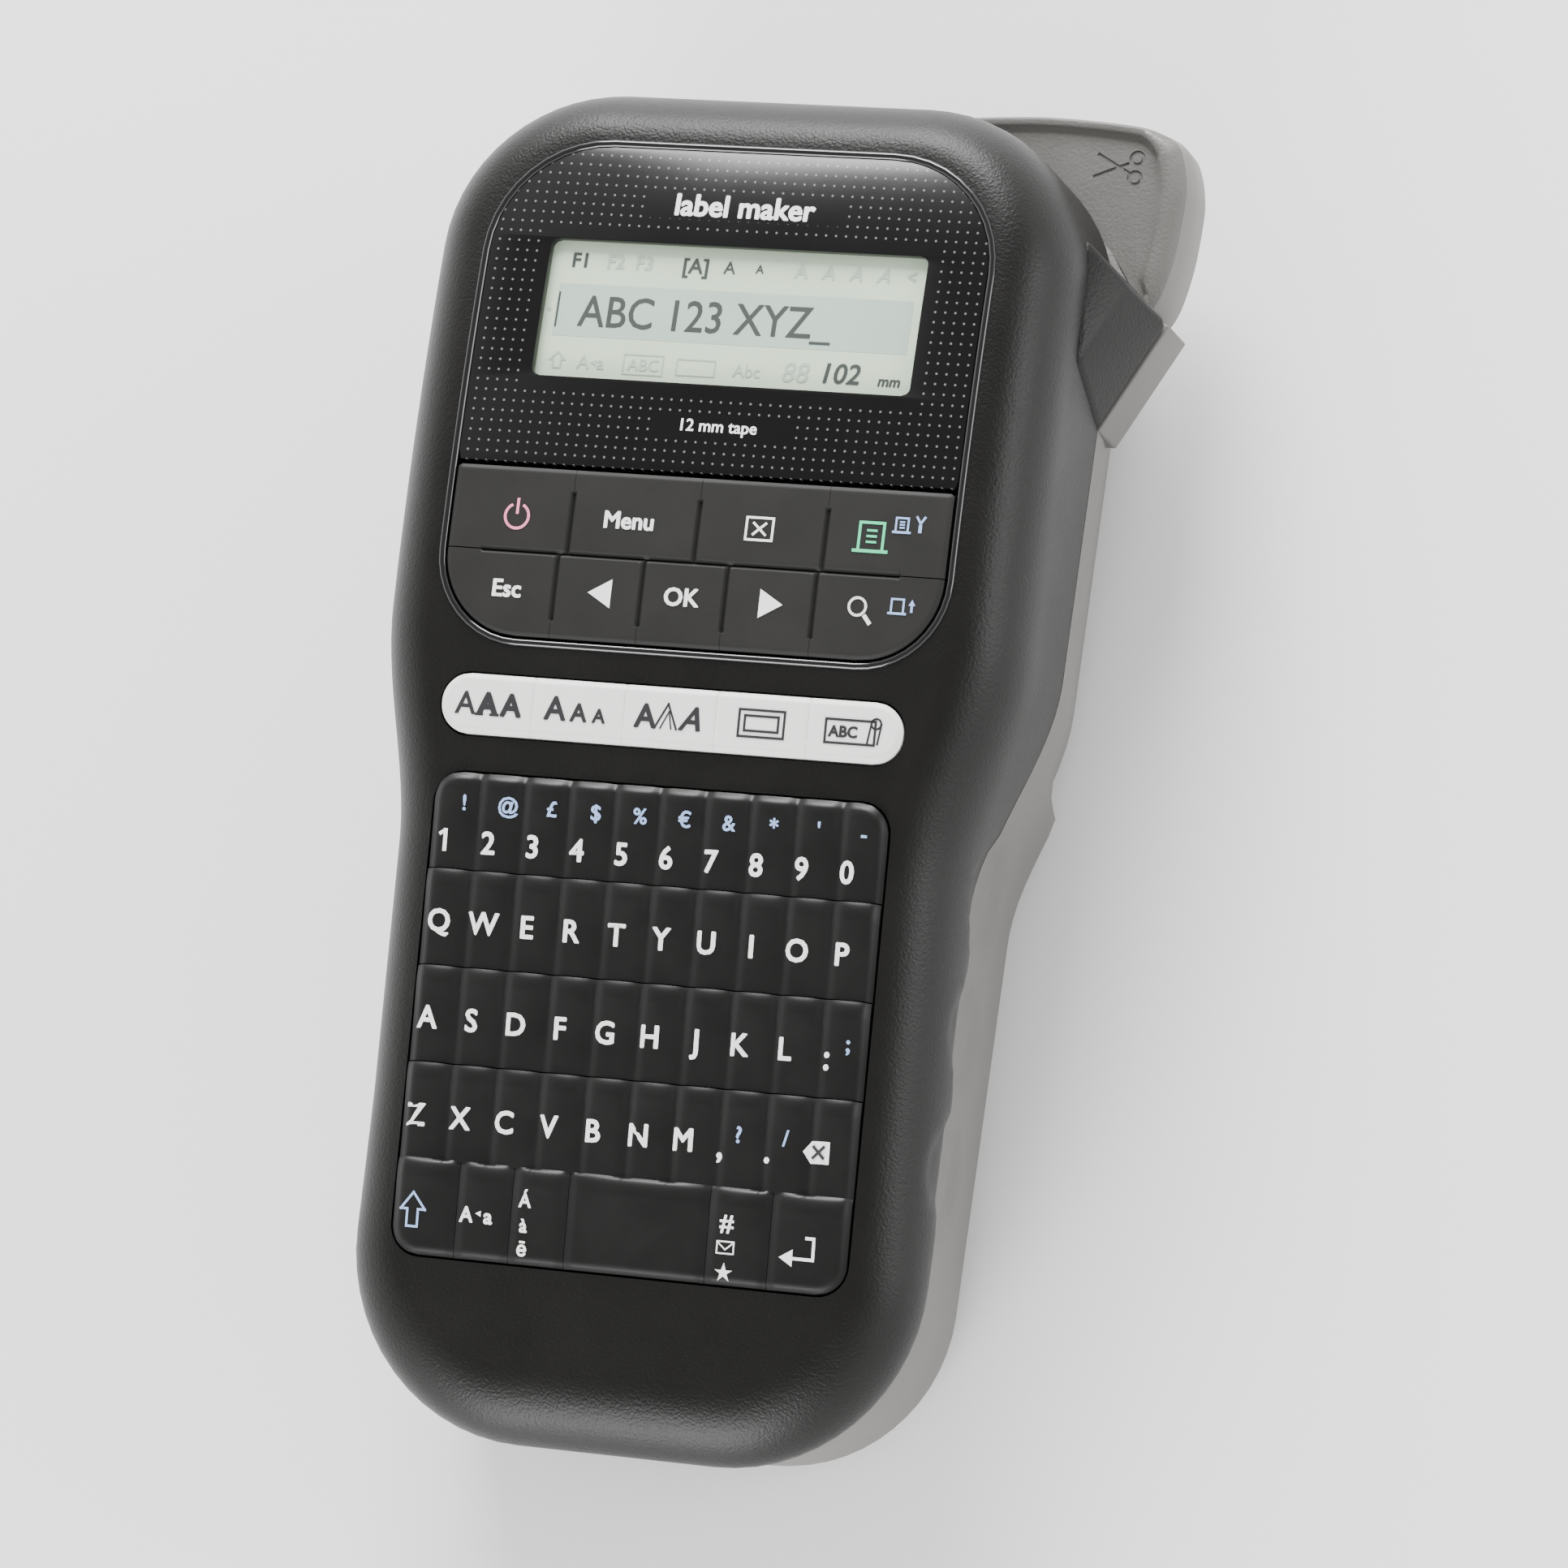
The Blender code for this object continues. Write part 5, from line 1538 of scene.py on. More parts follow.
    def print_on_panel(self) -> None:
        """Plain words over and under the window."""
        printer = Printer(self.on_face(-self.panel_drop), lift=0.02, thickness=0.04)
        window = self.layout.window
        middle, away = (window.left + window.right) / 2, 6.2
        printer.text("label maker", middle, window.top + away, 3.3, weight=0.15)
        printer.text("12 mm tape", middle + 1.0, window.bottom - away, 1.8, weight=0.05)
        self.file(printer.collect("panel_print"), Look.WHITE_INK, "body", "panel_gloss")


@dataclass
class Key:
    """One key or one row of keys: its node, its body and its cell."""

    node: str
    body: str
    left: float
    right: float
    bottom: float
    top: float


@dataclass
class KeyBank(Maker):
    """What the three banks of keys share."""

    skirt: float = 2.6
    look: Look = Look.KEY_RUBBER
    paint_slot: str = "key_rubber"

    def cap(self, key: Key, area: RoundBox, columns: int, rows: int) -> None:
        """Make a key: the cell's part of an area, with its top on the bank's surface.

        Args:
            key: The key.
            area: Outline of the whole bank.
            columns: Cells across.
            rows: Cells along.
        """
        bottom = max(key.bottom, area.bottom)
        top = min(key.top, area.top)

        def place(across: float, along: float) -> Vector:
            """A point of the key's top, kept inside the bank's outline."""
            y = bottom + (top - bottom) * along
            left, right = area.side(y)
            x = key.left + (key.right - key.left) * across
            x = min(max(x, left), right)
            return Vector((x, y, self.surface(x, y)))

        piece = Bench.sheet(key.node + "_cap", columns, rows, place)
        Bench.thicken(piece, self.skirt)
        Bench.smooth(piece, 40)
        self.file(piece, self.look, key.body, self.paint_slot, [key.node])

    def ink(self, printer: Printer, name: str, look: Look, body: str) -> None:
        """Collect a print and file it on a key.

        Args:
            printer: What has been printed.
            name: The print's name.
            look: Its finish.
            body: The key's body.
        """
        self.file(printer.collect(name), look, body, self.paint_slot)


@dataclass
class FunctionPad(KeyBank):
    """The dark rubber pad under the display, engraved between its nine keys."""

    look: Look = Look.PAD_RUBBER
    proud: float = 0.42
    groove: Point = (0.12, 0.55)
    groove_depth: float = 0.55
    border: float = 1.2
    border_drop: float = 0.35
    border_width: float = 0.6
    seam: float = 26.2
    seam_ends: Point = (-32.2, 33.2)
    line_ends: Point = (16.2, 35.5)
    key_gap: float = 0.03
    press_room: float = 0.14
    mesh_size: float = 0.24
    uppers: tuple[float, ...] = (-18.7, 1.2, 21.1)
    lowers: tuple[float, ...] = (-20.0, -6.4, 6.7, 20.5)

    def surface(self, x: float, y: float) -> float:
        """Height of the pad with its engraved lines and soft border.

        Args:
            x: Place on the pad.
            y: Place on the pad.

        Returns:
            The height.
        """
        lines: list[float] = []
        if self.seam_ends[0] < x < self.seam_ends[1]:
            lines.append(abs(y - self.seam))
        if self.seam < y < self.line_ends[1]:
            lines += [abs(x - line) for line in self.uppers]
        if self.line_ends[0] < y < self.seam:
            lines += [abs(x - line) for line in self.lowers]
        cut = 0.0
        if lines:
            cut = self.groove_depth * (1 - smooth_step(min(lines), *self.groove))
        inside = self.area().depth(x, y)
        roll = self.border_drop * (1 - smooth_step(inside, 0.0, self.border_width))
        return self.face.height(y) + self.proud - cut - roll

    def area(self) -> RoundBox:
        """The pad inside its rim."""
        console = self.layout.console
        panel_low, _ = node_box("display_panel")
        return RoundBox(console.left + self.border, console.right - self.border,
                        console.bottom + self.border, panel_low.y - 0.75,
                        console.low_corner - self.border, 0.6)

    def build(self) -> None:
        """Make the nine keys and their legends."""
        area = self.area()
        gap = self.key_gap
        upper = [area.left - 1, *self.uppers, area.right + 1]
        lower = [area.left - 1, *self.lowers, area.right + 1]
        names = [("fn_power", "power_key"), ("fn_menu", "menu_key"), ("fn_clear", "clear_key"),
                 ("fn_print", "print_key")]
        low_names = [("fn_escape", "escape_key"), ("fn_left", "left_key"), ("fn_ok", "ok_key"),
                     ("fn_right", "right_key"), ("fn_preview", "preview_key")]
        keys = [Key(*name, upper[i] + gap, upper[i + 1] - gap, self.seam + gap, area.top)
                for i, name in enumerate(names)]
        keys += [Key(*name, lower[i] + gap, lower[i + 1] - gap, area.bottom, self.seam - self.press_room)
                 for i, name in enumerate(low_names)]
        for key in keys:
            key.left = max(key.left, area.left)
            key.right = min(key.right, area.right)
            self.cap(key, area, round((key.right - key.left) / self.mesh_size), 52)
        self.legends()

    def legends(self) -> None:
        """The words and symbols on the nine keys."""
        pad = Printer(self.surface)
        pad.arc(-27.2, 31.3, 1.85, 0.42, start=118, sweep=304, steps=22)
        pad.bar((-27.2, 31.6), (-27.2, 34.0), 0.42, 0)
        self.ink(pad, "power_symbol", Look.PINK_INK, "power_key")
        pad.text("Menu", -9.5, 31.7, 2.5, weight=0.11)
        self.ink(pad, "menu_word", Look.WHITE_INK, "menu_key")
        pad.frame(10.9, 31.7, 4.1, 3.3, 0.36)
        pad.bar((9.9, 30.8), (11.9, 32.6), 0.36, 0.2)
        pad.bar((9.9, 32.6), (11.9, 30.8), 0.36, 0.2)
        self.ink(pad, "clear_symbol", Look.WHITE_INK, "clear_key")
        self.sheet_symbol(pad, 28.2, 31.6, 1.0, 0.42)
        self.ink(pad, "print_symbol", Look.GREEN_INK, "print_key")
        self.sheet_symbol(pad, 32.7, 33.6, 0.5, 0.3)
        pad.bar((35.5, 32.6), (35.5, 33.8), 0.5, 0)
        pad.path([(34.9, 34.9), (35.5, 34.0), (36.1, 34.9)], 0.34)
        self.ink(pad, "print_set_symbol", Look.BLUE_INK, "print_key")
        pad.text("Esc", -27.4, 20.5, 2.5, weight=0.11)
        self.ink(pad, "escape_word", Look.WHITE_INK, "escape_key")
        pad.text("◀", -12.8, 20.6, 3.3)
        self.ink(pad, "left_arrow", Look.WHITE_INK, "left_key")
        pad.text("OK", 0.1, 20.9, 2.6, weight=0.11)
        self.ink(pad, "ok_word", Look.WHITE_INK, "ok_key")
        pad.text("▶", 14.0, 20.7, 3.3)
        self.ink(pad, "right_arrow", Look.WHITE_INK, "right_key")
        pad.arc(27.3, 21.3, 1.3, 0.38)
        pad.bar((28.5, 20.0), (29.4, 18.9), 0.62, 0.2)
        self.ink(pad, "preview_symbol", Look.WHITE_INK, "preview_key")
        self.sheet_symbol(pad, 33.4, 21.7, 0.5, 0.3, lines=False)
        pad.bar((35.6, 20.9), (35.6, 21.9), 0.36, 0)
        pad.text("▲", 35.6, 22.3, 0.8)
        self.ink(pad, "feed_symbol", Look.BLUE_INK, "preview_key")

    @staticmethod
    def sheet_symbol(pad: Printer, x: float, y: float, scale: float, line: float,
                     lines: bool = True) -> None:
        """A page coming out of a slot.

        Args:
            pad: Prints on the pad.
            x: The page's middle.
            y: The page's middle.
            scale: Its size.
            line: Width of its lines.
            lines: Whether the page is written on.
        """
        half, rise, lip = 1.85 * scale, 2.1 * scale, 0.65 * scale
        pad.path([(x - half, y - rise), (x - half, y + rise), (x + half, y + rise),
                  (x + half, y - rise)], line)
        pad.bar((x - half - lip, y - rise), (x + half + lip, y - rise), line * 1.15)
        for step in (-0.75, 0.1, 0.95) if lines else ():
            level = y + step * scale
            pad.bar((x - 0.75 * scale, level), (x + 0.85 * scale, level), line * 0.8, 0)


@dataclass
class StyleStrip(KeyBank):
    """The light strip of five keys with thin short lines between them."""

    look: Look = Look.WHITE_KEYS
    paint_slot: str = "key_light"
    proud: float = 0.75
    border_drop: float = 0.55
    border_width: float = 0.9
    groove: Point = (0.1, 0.42)
    groove_depth: float = 0.16
    line_start: float = 2.4
    key_gap: float = 0.02
    lines: tuple[float, ...] = (-21.3, -6.9, 7.4, 21.7)

    def surface(self, x: float, y: float) -> float:
        """Height of the strip: rounded border, shallow lines between keys."""
        strip = self.layout.strip
        roll = self.border_drop * (1 - smooth_step(strip.depth(x, y), 0.0, self.border_width))
        cut = 0.0
        if y > strip.bottom + self.line_start:
            nearest = min(abs(x - line) for line in self.lines)
            cut = self.groove_depth * (1 - smooth_step(nearest, *self.groove))
        return self.face.height(y) + self.proud - roll - cut

    def build(self) -> None:
        """Make the five keys and their symbols."""
        strip = self.layout.strip
        edges = [strip.left, *self.lines, strip.right]
        names = [("style_font", "font_key"), ("style_size", "size_key"), ("style_effect", "effect_key"),
                 ("style_frame", "frame_key"), ("style_label", "label_key")]
        for i, name in enumerate(names):
            left = max(edges[i] + self.key_gap, strip.left)
            right = min(edges[i + 1] - self.key_gap, strip.right)
            self.cap(Key(*name, left, right, strip.bottom, strip.top), strip, 64, 40)
        self.symbols()

    def symbols(self) -> None:
        """Black symbols: fonts, sizes, effects, frame and label."""
        row = (self.layout.strip.bottom + self.layout.strip.top) / 2
        ink = Printer(self.surface)
        ink.text("A", -31.8, row, 3.3, weight=0.07)
        ink.text("A", -28.3, row, 3.1, weight=0.26)
        ink.bar((-30.2, row - 1.6), (-28.9, row - 1.6), 0.4, 0)
        ink.bar((-27.9, row - 1.6), (-26.4, row - 1.6), 0.4, 0)
        ink.text("A", -24.6, row, 3.2, weight=0.2)
        self.ink(ink, "font_symbol", Look.BLACK_INK, "font_key")
        for x, rise, cap, weight in ((-17.6, 0.1, 3.4, 0.14), (-13.9, -0.3, 2.6, 0.12),
                                     (-10.7, -0.6, 2.0, 0.1)):
            ink.text("A", x, row + rise, cap, weight=weight)
        self.ink(ink, "size_symbol", Look.BLACK_INK, "size_key")
        ink.text("A", -3.4, row, 3.4, weight=0.15)
        ink.path([(-1.9, row - 1.7), (0.0, row + 1.9), (1.5, row - 1.7)], 0.3)
        ink.path([(-1.0, row - 1.7), (0.2, row + 0.8), (0.7, row - 1.7)], 0.2)
        ink.text("A", 3.5, row, 3.4, weight=0.12, lean=0.3)
        self.ink(ink, "effect_symbol", Look.BLACK_INK, "effect_key")
        ink.frame(14.6, row, 7.0, 3.9, 0.36)
        ink.frame(14.6, row, 5.2, 2.2, 0.36)
        self.ink(ink, "frame_symbol", Look.BLACK_INK, "frame_key")
        ink.frame(28.3, row - 0.2, 7.6, 3.4, 0.36)
        ink.text("ABC", 27.2, row - 0.2, 1.6, weight=0.09)
        ink.arc(32.2, row + 1.2, 0.75, 0.28)
        ink.path([(31.5, row + 1.5), (31.0, row - 1.9)], 0.28)
        ink.path([(33.0, row + 1.2), (32.6, row - 1.7)], 0.28)
        self.ink(ink, "label_symbol", Look.BLACK_INK, "label_key")


@dataclass
class LetterKeys(KeyBank):
    """Five rows of soft black keys, each with a crest along its upper edge."""

    pitch: float = 14.2
    columns: int = 10
    base: float = 0.35
    crest: float = 0.85
    pillow: float = 0.16
    valley: float = 0.2
    valley_width: float = 1.5
    turn: float = 0.82
    climb: float = 1.7
    fall: float = 0.93
    roundness: float = 2.2
    border_drop: float = 0.35
    border_width: float = 1.2
    key_gap: float = 0.04
    press_room: float = 0.17
    mesh_size: float = 0.36
    wide: tuple[float, ...] = (-25.4, -16.85, -8.1, 13.85, 23.45)

    def row_of(self, y: float) -> tuple[int, float]:
        """Which row, counted from the top, and the share up it."""
        depth = (self.layout.keypad.top - y) / self.pitch
        index = min(max(int(math.floor(depth + 1e-6)), 0), 4)
        return index, min(max(1 - (depth - index), 0.0), 1.0)

    def edges(self, row: int) -> list[float]:
        """X of the lines between a row's keys, borders included."""
        pad = self.layout.keypad
        if row == 4:
            return [pad.left, *self.wide, pad.right]
        step = (pad.right - pad.left) / self.columns
        return [pad.left + step * i for i in range(self.columns + 1)]

    def surface(self, x: float, y: float) -> float:
        """Height of the keys: a soft slope up to a crest, valleys between columns.

        Args:
            x: Place on the keys.
            y: Place on the keys.

        Returns:
            The height.
        """
        row, share = self.row_of(y)
        turn = self.turn
        if share < turn:
            rise = (share / turn) ** self.climb
        else:
            rise = math.sqrt(max(1 - ((share - turn) / (1 - turn)) ** 2 * self.fall, 0.0))
        borders = self.edges(row)
        away = 1.0
        middle = 1.0
        for left, right in zip(borders, borders[1:]):
            if left <= x <= right:
                away = min(x - left, right - x)
                middle = 1 - abs((x - left) / (right - left) * 2 - 1) ** self.roundness
        cut = self.valley * (1 - smooth_step(away, 0.0, self.valley_width))
        lift = self.crest * rise * (0.5 + 0.5 * middle)
        inside = self.layout.keypad.depth(x, y)
        roll = self.border_drop * (1 - smooth_step(inside, 0.0, self.border_width))
        return self.face.height(y) + self.base + lift + self.pillow * middle - cut - roll

    def build(self) -> None:
        """Make the rows, the wide keys and all the legends."""
        pad = self.layout.keypad
        names = [("key_row_digits", "digit_keys"), ("key_row_q", "q_keys"), ("key_row_a", "a_keys"),
                 ("key_row_z", "z_keys")]
        gap = self.key_gap
        for row, name in enumerate(names):
            top = pad.top - row * self.pitch
            key = Key(*name, pad.left, pad.right, top - self.pitch + gap,
                      top - self.press_room * (row > 0))
            self.cap(key, pad, 200, 44)
        wide = [("key_shift", "shift_key"), ("key_caps", "caps_key"), ("key_accent", "accent_key"),
                ("key_space", "space_key"), ("key_symbol", "symbol_key"), ("key_enter", "enter_key")]
        borders = self.edges(4)
        for i, name in enumerate(wide):
            key = Key(*name, borders[i] + gap * (i > 0), borders[i + 1] - gap * (i < 5), pad.bottom,
                      pad.bottom + self.pitch - self.press_room)
            columns = max(round((key.right - key.left) / self.mesh_size), 16)
            self.cap(key, pad, columns, 44)
        self.letters()
        self.signs()
        self.wide_legends()

    def letters(self) -> None:
        """White letters and digits, one piece to a row."""
        ink = Printer(self.surface)
        rows = [("digit_letters", "digit_keys", "1234567890", -33.1, 6.99, -17.1),
                ("q_letters", "q_keys", "QWERTYUIOP", -32.6, 7.0, -28.9),
                ("a_letters", "a_keys", "ASDFGHJKL", -32.9, 7.0, -43.1),
                ("z_letters", "z_keys", "ZXCVBNM", -33.2, 7.0, -57.4)]
        for name, body, words, start, step, y in rows:
            for i, letter in enumerate(words):
                if letter == "1":
                    ink.bar((start + 0.15, y - 1.65), (start + 0.15, y + 1.65), 0.6, 0)
                    ink.bar((start + 0.05, y + 1.4), (start - 0.75, y + 0.85), 0.5, 0.2)
                else:
                    ink.text(letter, start + step * i, y, 3.2, weight=0.13)
            if body == "a_keys":
                ink.text(":", start + step * 9 - 0.6, y - 0.6, 3.6, weight=0.15)
            if body == "z_keys":
                ink.text(",", start + step * 7 - 1.3, y - 0.3, 3.6, weight=0.16)
                ink.text(".", start + step * 8 - 1.0, y - 0.3, 3.6, weight=0.16)
                self.erase_symbol(ink, start + step * 9 - 0.2, y - 0.1)
            self.ink(ink, name, Look.WHITE_INK, body)
        cross = Printer(self.surface, lift=0.24)
        x, y = -33.2 + 62.8, -57.5
        for rise in (0.85, -0.85):
            cross.bar((x - 0.8, y + rise), (x + 1.0, y - rise), 0.42, 0.2)
        self.ink(cross, "erase_cross", Look.BLACK_INK, "z_keys")

    @staticmethod
    def erase_symbol(ink: Printer, x: float, y: float) -> None:
        """A filled tag with a pointed end."""
        rows = [0.4 * i - 1.6 for i in range(9)]
        ink.polygon([(rise, -2.3 + 0.75 * abs(rise), 1.8) for rise in rows], x, y)

    def signs(self) -> None:
        """Blue second signs over the digits and beside the stops."""
        ink = Printer(self.surface)
        for i, sign in enumerate("!@£$%€&*'-"):
            ink.text(sign, -30.3 + 6.93 * i, -11.5, 2.2, weight=0.07)
        self.ink(ink, "digit_signs", Look.BLUE_INK, "digit_keys")
        ink.text(";", 32.7, -41.6, 2.4, weight=0.1)
        self.ink(ink, "a_signs", Look.BLUE_INK, "a_keys")
        ink.text("?", 17.4, -56.0, 2.3, weight=0.08)
        ink.text("/", 24.6, -55.9, 2.3, weight=0.05)
        self.ink(ink, "z_signs", Look.BLUE_INK, "z_keys")

    def wide_legends(self) -> None:
        """Symbols of the last row."""
        ink = Printer(self.surface)
        y = -71.3
        ink.path([(-33.0, y - 2.4), (-31.3, y - 2.4), (-31.3, y + 0.1), (-30.2, y + 0.1),
                  (-32.15, y + 2.5), (-34.1, y + 0.1), (-33.0, y + 0.1)], 0.34, closed=True)
        self.ink(ink, "shift_symbol", Look.BLUE_INK, "shift_key")
        ink.text("A", -23.7, y + 0.1, 2.2, weight=0.1)
        ink.text("◂", -21.8, y + 0.4, 2.0)
        ink.text("a", -20.2, y + 0.1, 2.2, weight=0.1)
        self.ink(ink, "caps_symbol", Look.WHITE_INK, "caps_key")
        for letter, rise in (("Á", 2.9), ("à", -0.7), ("ē", -4.1)):
            ink.text(letter, -14.6, y + rise, 2.0, weight=0.08)
        self.ink(ink, "accent_symbol", Look.WHITE_INK, "accent_key")
        ink.text("#", 16.9, y + 2.6, 2.5, weight=0.08)
        ink.frame(16.9, y - 1.0, 2.6, 1.7, 0.22)
        ink.path([(15.7, y - 0.3), (16.9, y - 1.3), (18.1, y - 0.3)], 0.2)
        ink.text("★", 16.9, y - 4.6, 2.2)
        self.ink(ink, "symbol_symbol", Look.WHITE_INK, "symbol_key")
        ink.path([(30.4, y + 1.4), (30.4, y - 1.6), (26.9, y - 1.6)], 0.45)
        ink.path([(30.4, y + 1.4), (29.3, y + 1.4)], 0.45)
        ink.text("◀", 26.2, y - 1.6, 1.9)
        self.ink(ink, "enter_symbol", Look.WHITE_INK, "enter_key")


@dataclass
class Cutter(Maker):
    """The cutter lever with its raised border and engraved scissors."""

    slope_ends: Point = (30.0, 36.5)
    border_ends: Point = (-19.0, -12.0)
    field_depth: float = 0.85
    bore: float = 2.1
    scissors: Point = (48.2, 98.3)
    engraving: float = 0.22
    plan_points: tuple[Point, ...] = (
        (-4.0, 11.2), (2.3, 12.3), (9.0, 12.8), (16.3, 13.0), (26.0, 12.5), (32.0, 11.7), (35.9, 10.2),
        (37.6, 7.4), (38.6, 3.5), (38.8, -0.1), (38.3, -8.0), (36.6, -15.2), (33.5, -18.0),
        (28.0, -13.0), (23.0, -7.6), (9.0, -4.5), (0.0, -4.5), (-4.4, -2.0), (-5.4, 5.0))

    def outline(self, steps: int = 6) -> list[Point]:
        """The lever's smooth outline, clockwise from its left end.

        Args:
            steps: Points added to each stretch.

        Returns:
            The outline, relative to the pin.
        """
        points = self.plan_points
        count = len(points)
        smooth: list[Point] = []
        for i in range(count):
            p0, p1, p2, p3 = (Vector(points[(i + k) % count]) for k in (-1, 0, 1, 2))
            for j in range(steps):
                t = j / steps
                spot = 0.5 * ((2 * p1) + (p2 - p0) * t + (2 * p0 - 5 * p1 + 4 * p2 - p3) * t * t
                              + (3 * p1 - p0 - 3 * p2 + p3) * t ** 3)
                smooth.append((spot.x, spot.y))
        return smooth

    def inset(self, loop: Sequence[Point], distance: Callable[[float, float], float]) -> list[Point]:
        """Move an outline inwards along its normals.

        Args:
            loop: The outline, clockwise.
            distance: How far, read at each point.

        Returns:
            The moved outline.
        """
        moved: list[Point] = []
        count = len(loop)
        for i, (x, y) in enumerate(loop):
            ahead = loop[(i + 1) % count]
            behind = loop[i - 1]
            along = Vector((ahead[0] - behind[0], ahead[1] - behind[1]))
            along.normalize()
            step = distance(x, y)
            moved.append((x + along.y * step, y - along.x * step))
        return moved

    def build(self) -> None:
        """Make the lever and the engraving."""
        low, high = node_box("cutter_lever")
        pin_x, pin_y = self.layout.lever_pin
        loop = self.outline()

        def slope(x: float) -> float:
            """0 on the flat of the lever, 1 past its thumb end's slope."""
            return smooth_step(x, *self.slope_ends)

        def border(x: float, y: float) -> float:
            """Width of the raised border, which runs out towards the tip."""
            return (1.4 + 2.6 * slope(x)) * smooth_step(y, *self.border_ends) + 0.3

        profile: list[Callable[[float, float], Point]] = [
            lambda x, y: (0.5, low.z),
            lambda x, y: (0.12, low.z + 0.15),
            lambda x, y: (0.0, low.z + 0.6),
            lambda x, y: (0.0, high.z - 2.4 - 1.5 * slope(x)),
            lambda x, y: (0.12 + 0.5 * slope(x), high.z - 1.0),
            lambda x, y: (0.35 + 1.3 * slope(x), high.z - 0.35),
            lambda x, y: (0.7 + 1.9 * slope(x), high.z - 0.06),
            lambda x, y: (border(x, y) - 0.35, high.z),
            lambda x, y: (border(x, y), high.z - 0.15),
            lambda x, y: (border(x, y) + 0.7, high.z - 0.75),
            lambda x, y: (border(x, y) + 1.2, high.z - self.field_depth)]
        rings = [[(pin_x + x, pin_y + y, point(*start)[1]) for (x, y), start
                  in zip(self.inset(loop, lambda x, y, point=point: point(x, y)[0]), loop)]
                 for point in profile]
        Bench.clear()
        bpy.ops.mesh.primitive_circle_add(vertices=len(loop), radius=1.0, fill_type="NGON")
        lever = Bench.named("lever_plate")
        Bench.grow_rings(lever, rings)
        Bench.mode("OBJECT")
        Bench.normals_out(lever)
        above, below = high.z + 1, low.z - 1
        bore = [(0, above), (self.bore, above), (self.bore, below), (0, below)]
        Bench.cut(lever, Bench.lathe("bore_tool", bore, (pin_x, pin_y, 0), steps=32))
        self.engrave(lever, high.z - self.field_depth)
        self.file(lever, Look.GREY_LEVER, "cutter", "shell_grey", ["cutter_lever"], smooth=32)

    def engrave(self, lever: Piece, level: float) -> None:
        """Cut the scissors into the lever's field.

        Args:
            lever: The lever.
            level: Height of the field.
        """
        x, y = self.scissors
        depth = self.engraving
        cut = Printer(lambda px, py: level, lift=0.0, thickness=2 * depth)
        cut.bar((x - 3.6, y + 2.2), (x + 1.6, y - 0.6), 0.5, 0.1)
        cut.bar((x - 3.9, y - 1.4), (x + 1.4, y + 0.9), 0.5, 0.1)
        for tool in cut.pieces:
            Bench.cut(lever, tool)
        inner, outer, above, below = 0.7, 1.25, level + 0.5, level - depth
        profile = [(inner, above), (outer, above), (outer, below), (inner, below)]
        for cy in (y + 1.75, y - 1.35):
            Bench.cut(lever, Bench.lathe("handle_tool", profile, (x + 2.6, cy, 0), steps=24))


@dataclass
class Insides(Maker):
    """CAD nodes whose own shape shows only when the cover is off."""

    looks: dict[str, Look] = field(default_factory=lambda: {
        "key_membrane": Look.KEY_RUBBER, "key_board": Look.BOARD, "feed_motor": Look.STEEL,
        "mechanism_plate": Look.STEEL, "print_head": Look.DARK_STEEL, "tape_cassette": Look.CASSETTE,
        "cutter_anvil": Look.STEEL, "cutter_blade": Look.STEEL, "lever_pin": Look.STEEL,
        "lever_spring": Look.STEEL, "battery_tray": Look.BLACK_SHELL, "contact_strip_low": Look.STEEL,
        "contact_strip_high": Look.STEEL, "platen_roller": Look.ROLLER, "platen_gear": Look.GEAR,
        "idler_gear": Look.GEAR, "ribbon_spindle": Look.GEAR, "motor_pinion": Look.DARK_STEEL,
        **{f"battery_cell_{i}": Look.CELL for i in range(1, 7)}})

    def build(self) -> None:
        """Dress every CAD node; those that a piece stands for are hidden anyway."""
        for name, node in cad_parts.items():
            self.wardrobe.wear(node, self.looks.get(name, Look.BLACK_SHELL))


# ---------------------------------------------------------------- studio

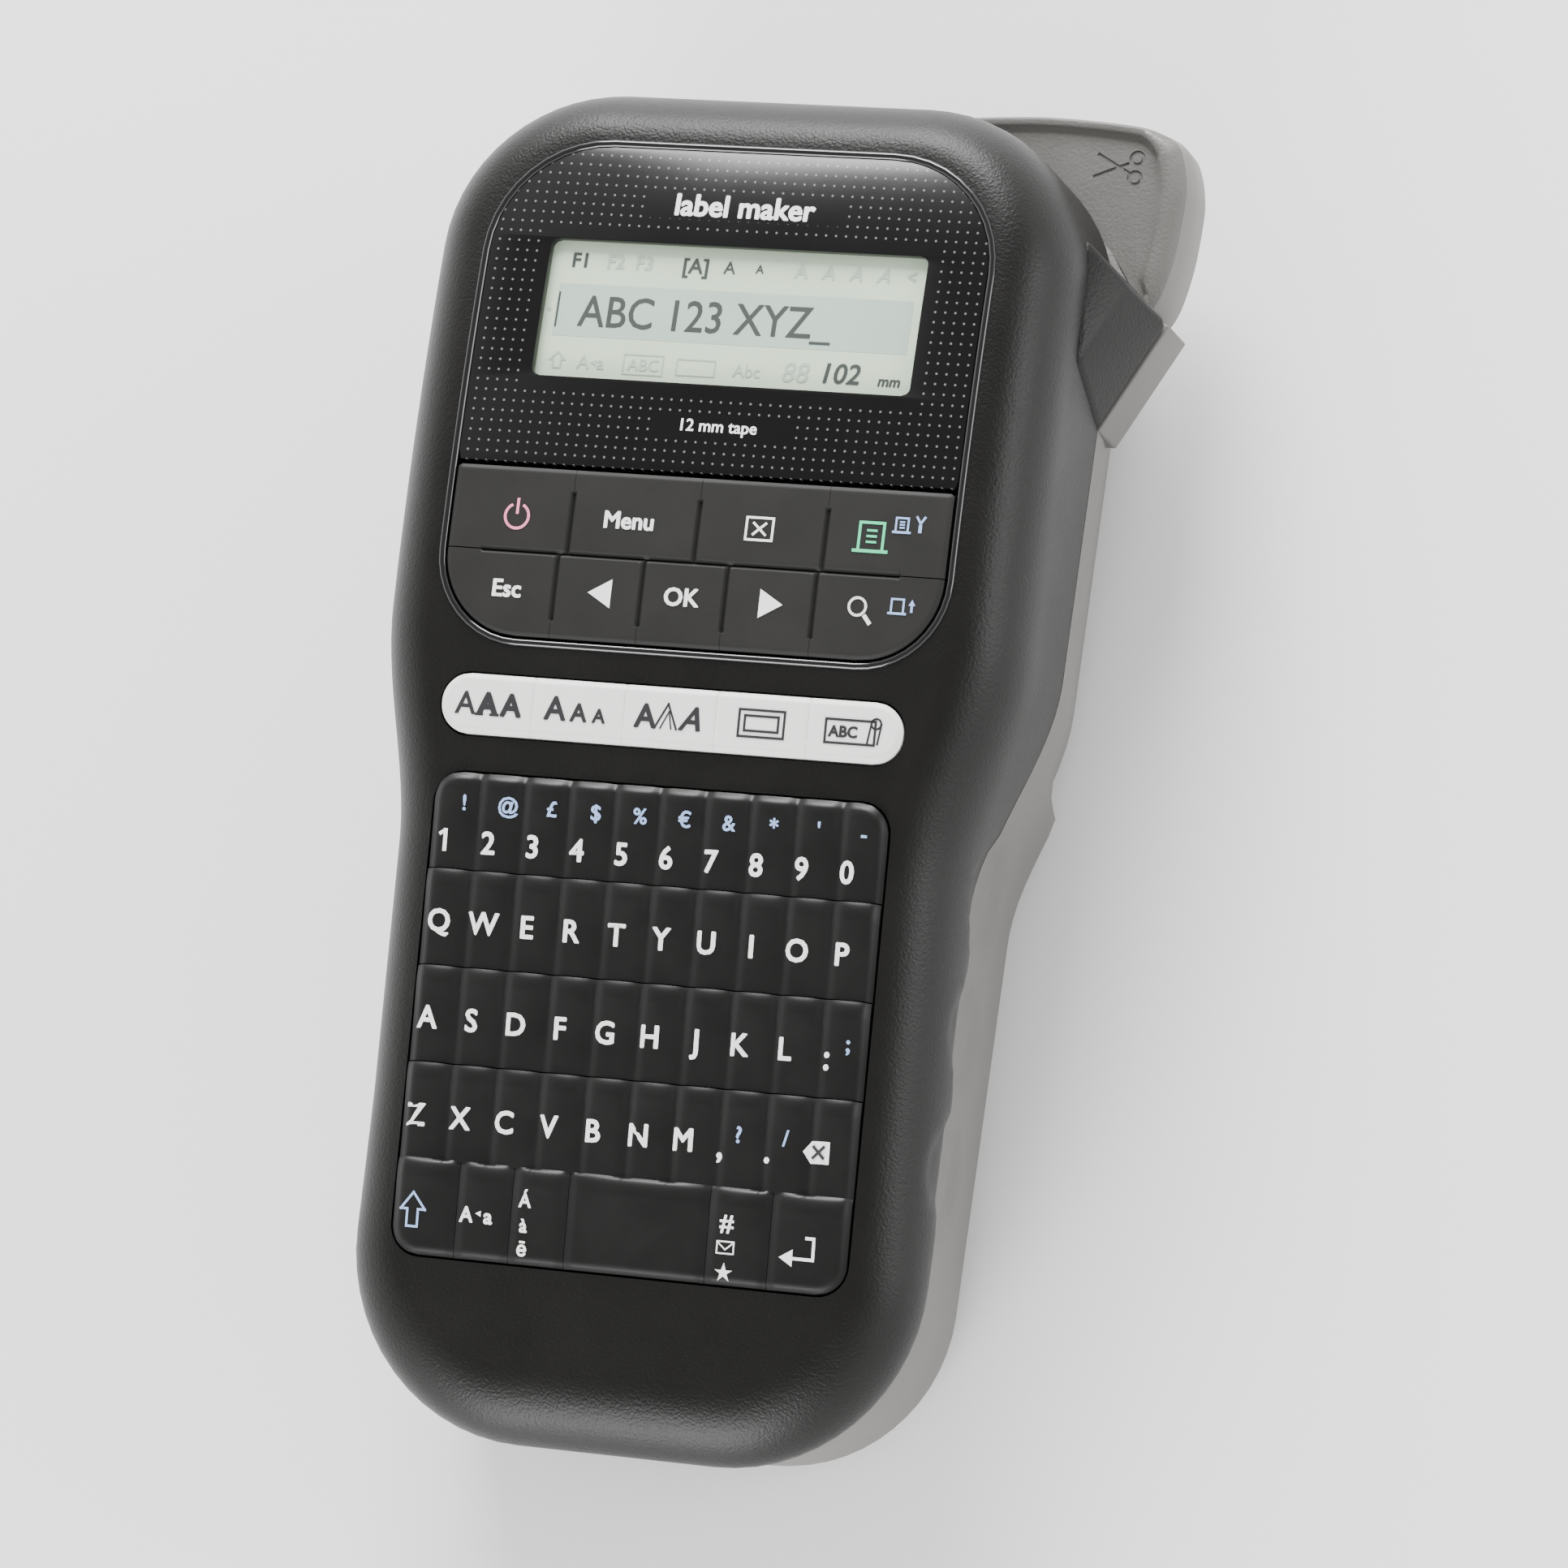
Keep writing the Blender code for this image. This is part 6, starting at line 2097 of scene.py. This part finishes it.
@dataclass
class Studio:
    """A pale floor, soft lights and the camera."""

    wardrobe: Wardrobe
    place: Sequence[float] = (0.36562, -0.20386, 1.0308)
    right: Sequence[float] = (0.94164, 0.14099, -0.30569)
    up: Sequence[float] = (-0.0729, 0.97192, 0.22371)
    back: Sequence[float] = (0.32865, -0.18837, 0.92548)
    lens: float = 166.567
    sensor: float = 36.0
    clip: Point = (0.01, 20.0)
    floor_size: float = 6.0
    floor_drop: float = 0.0002

    def build(self) -> None:
        """Set everything up."""
        self.floor()
        self.camera()
        self.light("far_softbox", (-0.25, 1.35, 0.75), 0.8, 60.0)
        self.light("near_softbox", (-0.3, -1.3, 0.5), 0.8, 26.0)
        self.light("side_softbox", (1.3, 0.25, 0.5), 0.6, 8.0)
        self.sky()

    @staticmethod
    def sky() -> None:
        """Light all round, bright near the floor and dim overhead."""
        world = bpy.data.worlds.new("studio")
        bpy.context.scene.world = world
        world.use_nodes = True
        tree = world.node_tree
        coords = tree.nodes.new("ShaderNodeTexCoord")
        split = tree.nodes.new("ShaderNodeSeparateXYZ")
        power = tree.nodes.new("ShaderNodeMapRange")
        for name, value in (("From Min", 0.25), ("From Max", 0.85), ("To Min", 2.4), ("To Max", 0.5)):
            power.inputs[name].default_value = value
        tree.links.new(coords.outputs["Generated"], split.inputs["Vector"])
        tree.links.new(split.outputs["Z"], power.inputs["Value"])
        tree.links.new(power.outputs["Result"], tree.nodes["Background"].inputs["Strength"])
        tree.nodes["Background"].inputs["Color"].default_value = (1.0, 1.0, 1.0, 1.0)

    def floor(self) -> None:
        """A wide pale floor just under the cover."""
        Bench.clear()
        bpy.ops.mesh.primitive_plane_add(size=self.floor_size, location=(0, 0, -self.floor_drop))
        floor = Bench.named("studio_floor")
        self.wardrobe.wear(floor, Look.FLOOR)

    def camera(self) -> None:
        """The camera, turned by its own three axes."""
        Bench.clear()
        bpy.ops.object.camera_add(location=self.place)
        camera = bpy.context.object
        camera.name = "studio_camera"
        turn = Matrix((self.right, self.up, self.back)).transposed().to_4x4()
        camera.matrix_world = Matrix.Translation(self.place) @ turn
        camera.data.lens = self.lens
        camera.data.sensor_width = self.sensor
        camera.data.clip_start, camera.data.clip_end = self.clip
        bpy.context.scene.camera = camera

    @staticmethod
    def light(name: str, place: Sequence[float], size: float, power: float) -> None:
        """A square soft light that looks at the maker.

        Args:
            name: The light's name.
            place: Where it hangs.
            size: Its side.
            power: Its power in watts.
        """
        Bench.clear()
        bpy.ops.object.light_add(type="AREA", location=place)
        light = bpy.context.object
        light.name = name
        light.data.size = size
        light.data.energy = power
        aim = Vector((0, 0, 0.03)) - Vector(place)
        light.rotation_euler = aim.to_track_quat("-Z", "Y").to_euler()


def main() -> None:
    """Build every sub-assembly in order."""
    logging.basicConfig(level=logging.INFO, format="%(message)s")
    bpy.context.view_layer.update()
    layout = Layout.from_frame()
    shell_low, shell_high = node_box("front_shell")
    face = FrontFace(top=shell_high.z)
    plan = BodyPlan(bottom=shell_low.y, top=shell_high.y)
    window = layout.window
    clear = (window.grown(1.2), RoundBox(-14.2, 17.2, window.top + 3.9, window.top + 8.5, 1, 1),
             RoundBox(-8.5, 13.5, window.bottom - 8.0, window.bottom - 4.4, 1, 1))
    wardrobe = Wardrobe(clear)
    Studio(wardrobe).build()
    for kind in (Insides, FrontShell, RearShell, Display, FunctionPad, StyleStrip, LetterKeys, Cutter):
        kind(face, plan, wardrobe, layout).build()
    Bench.clear()


if __name__ == "__main__":
    main()
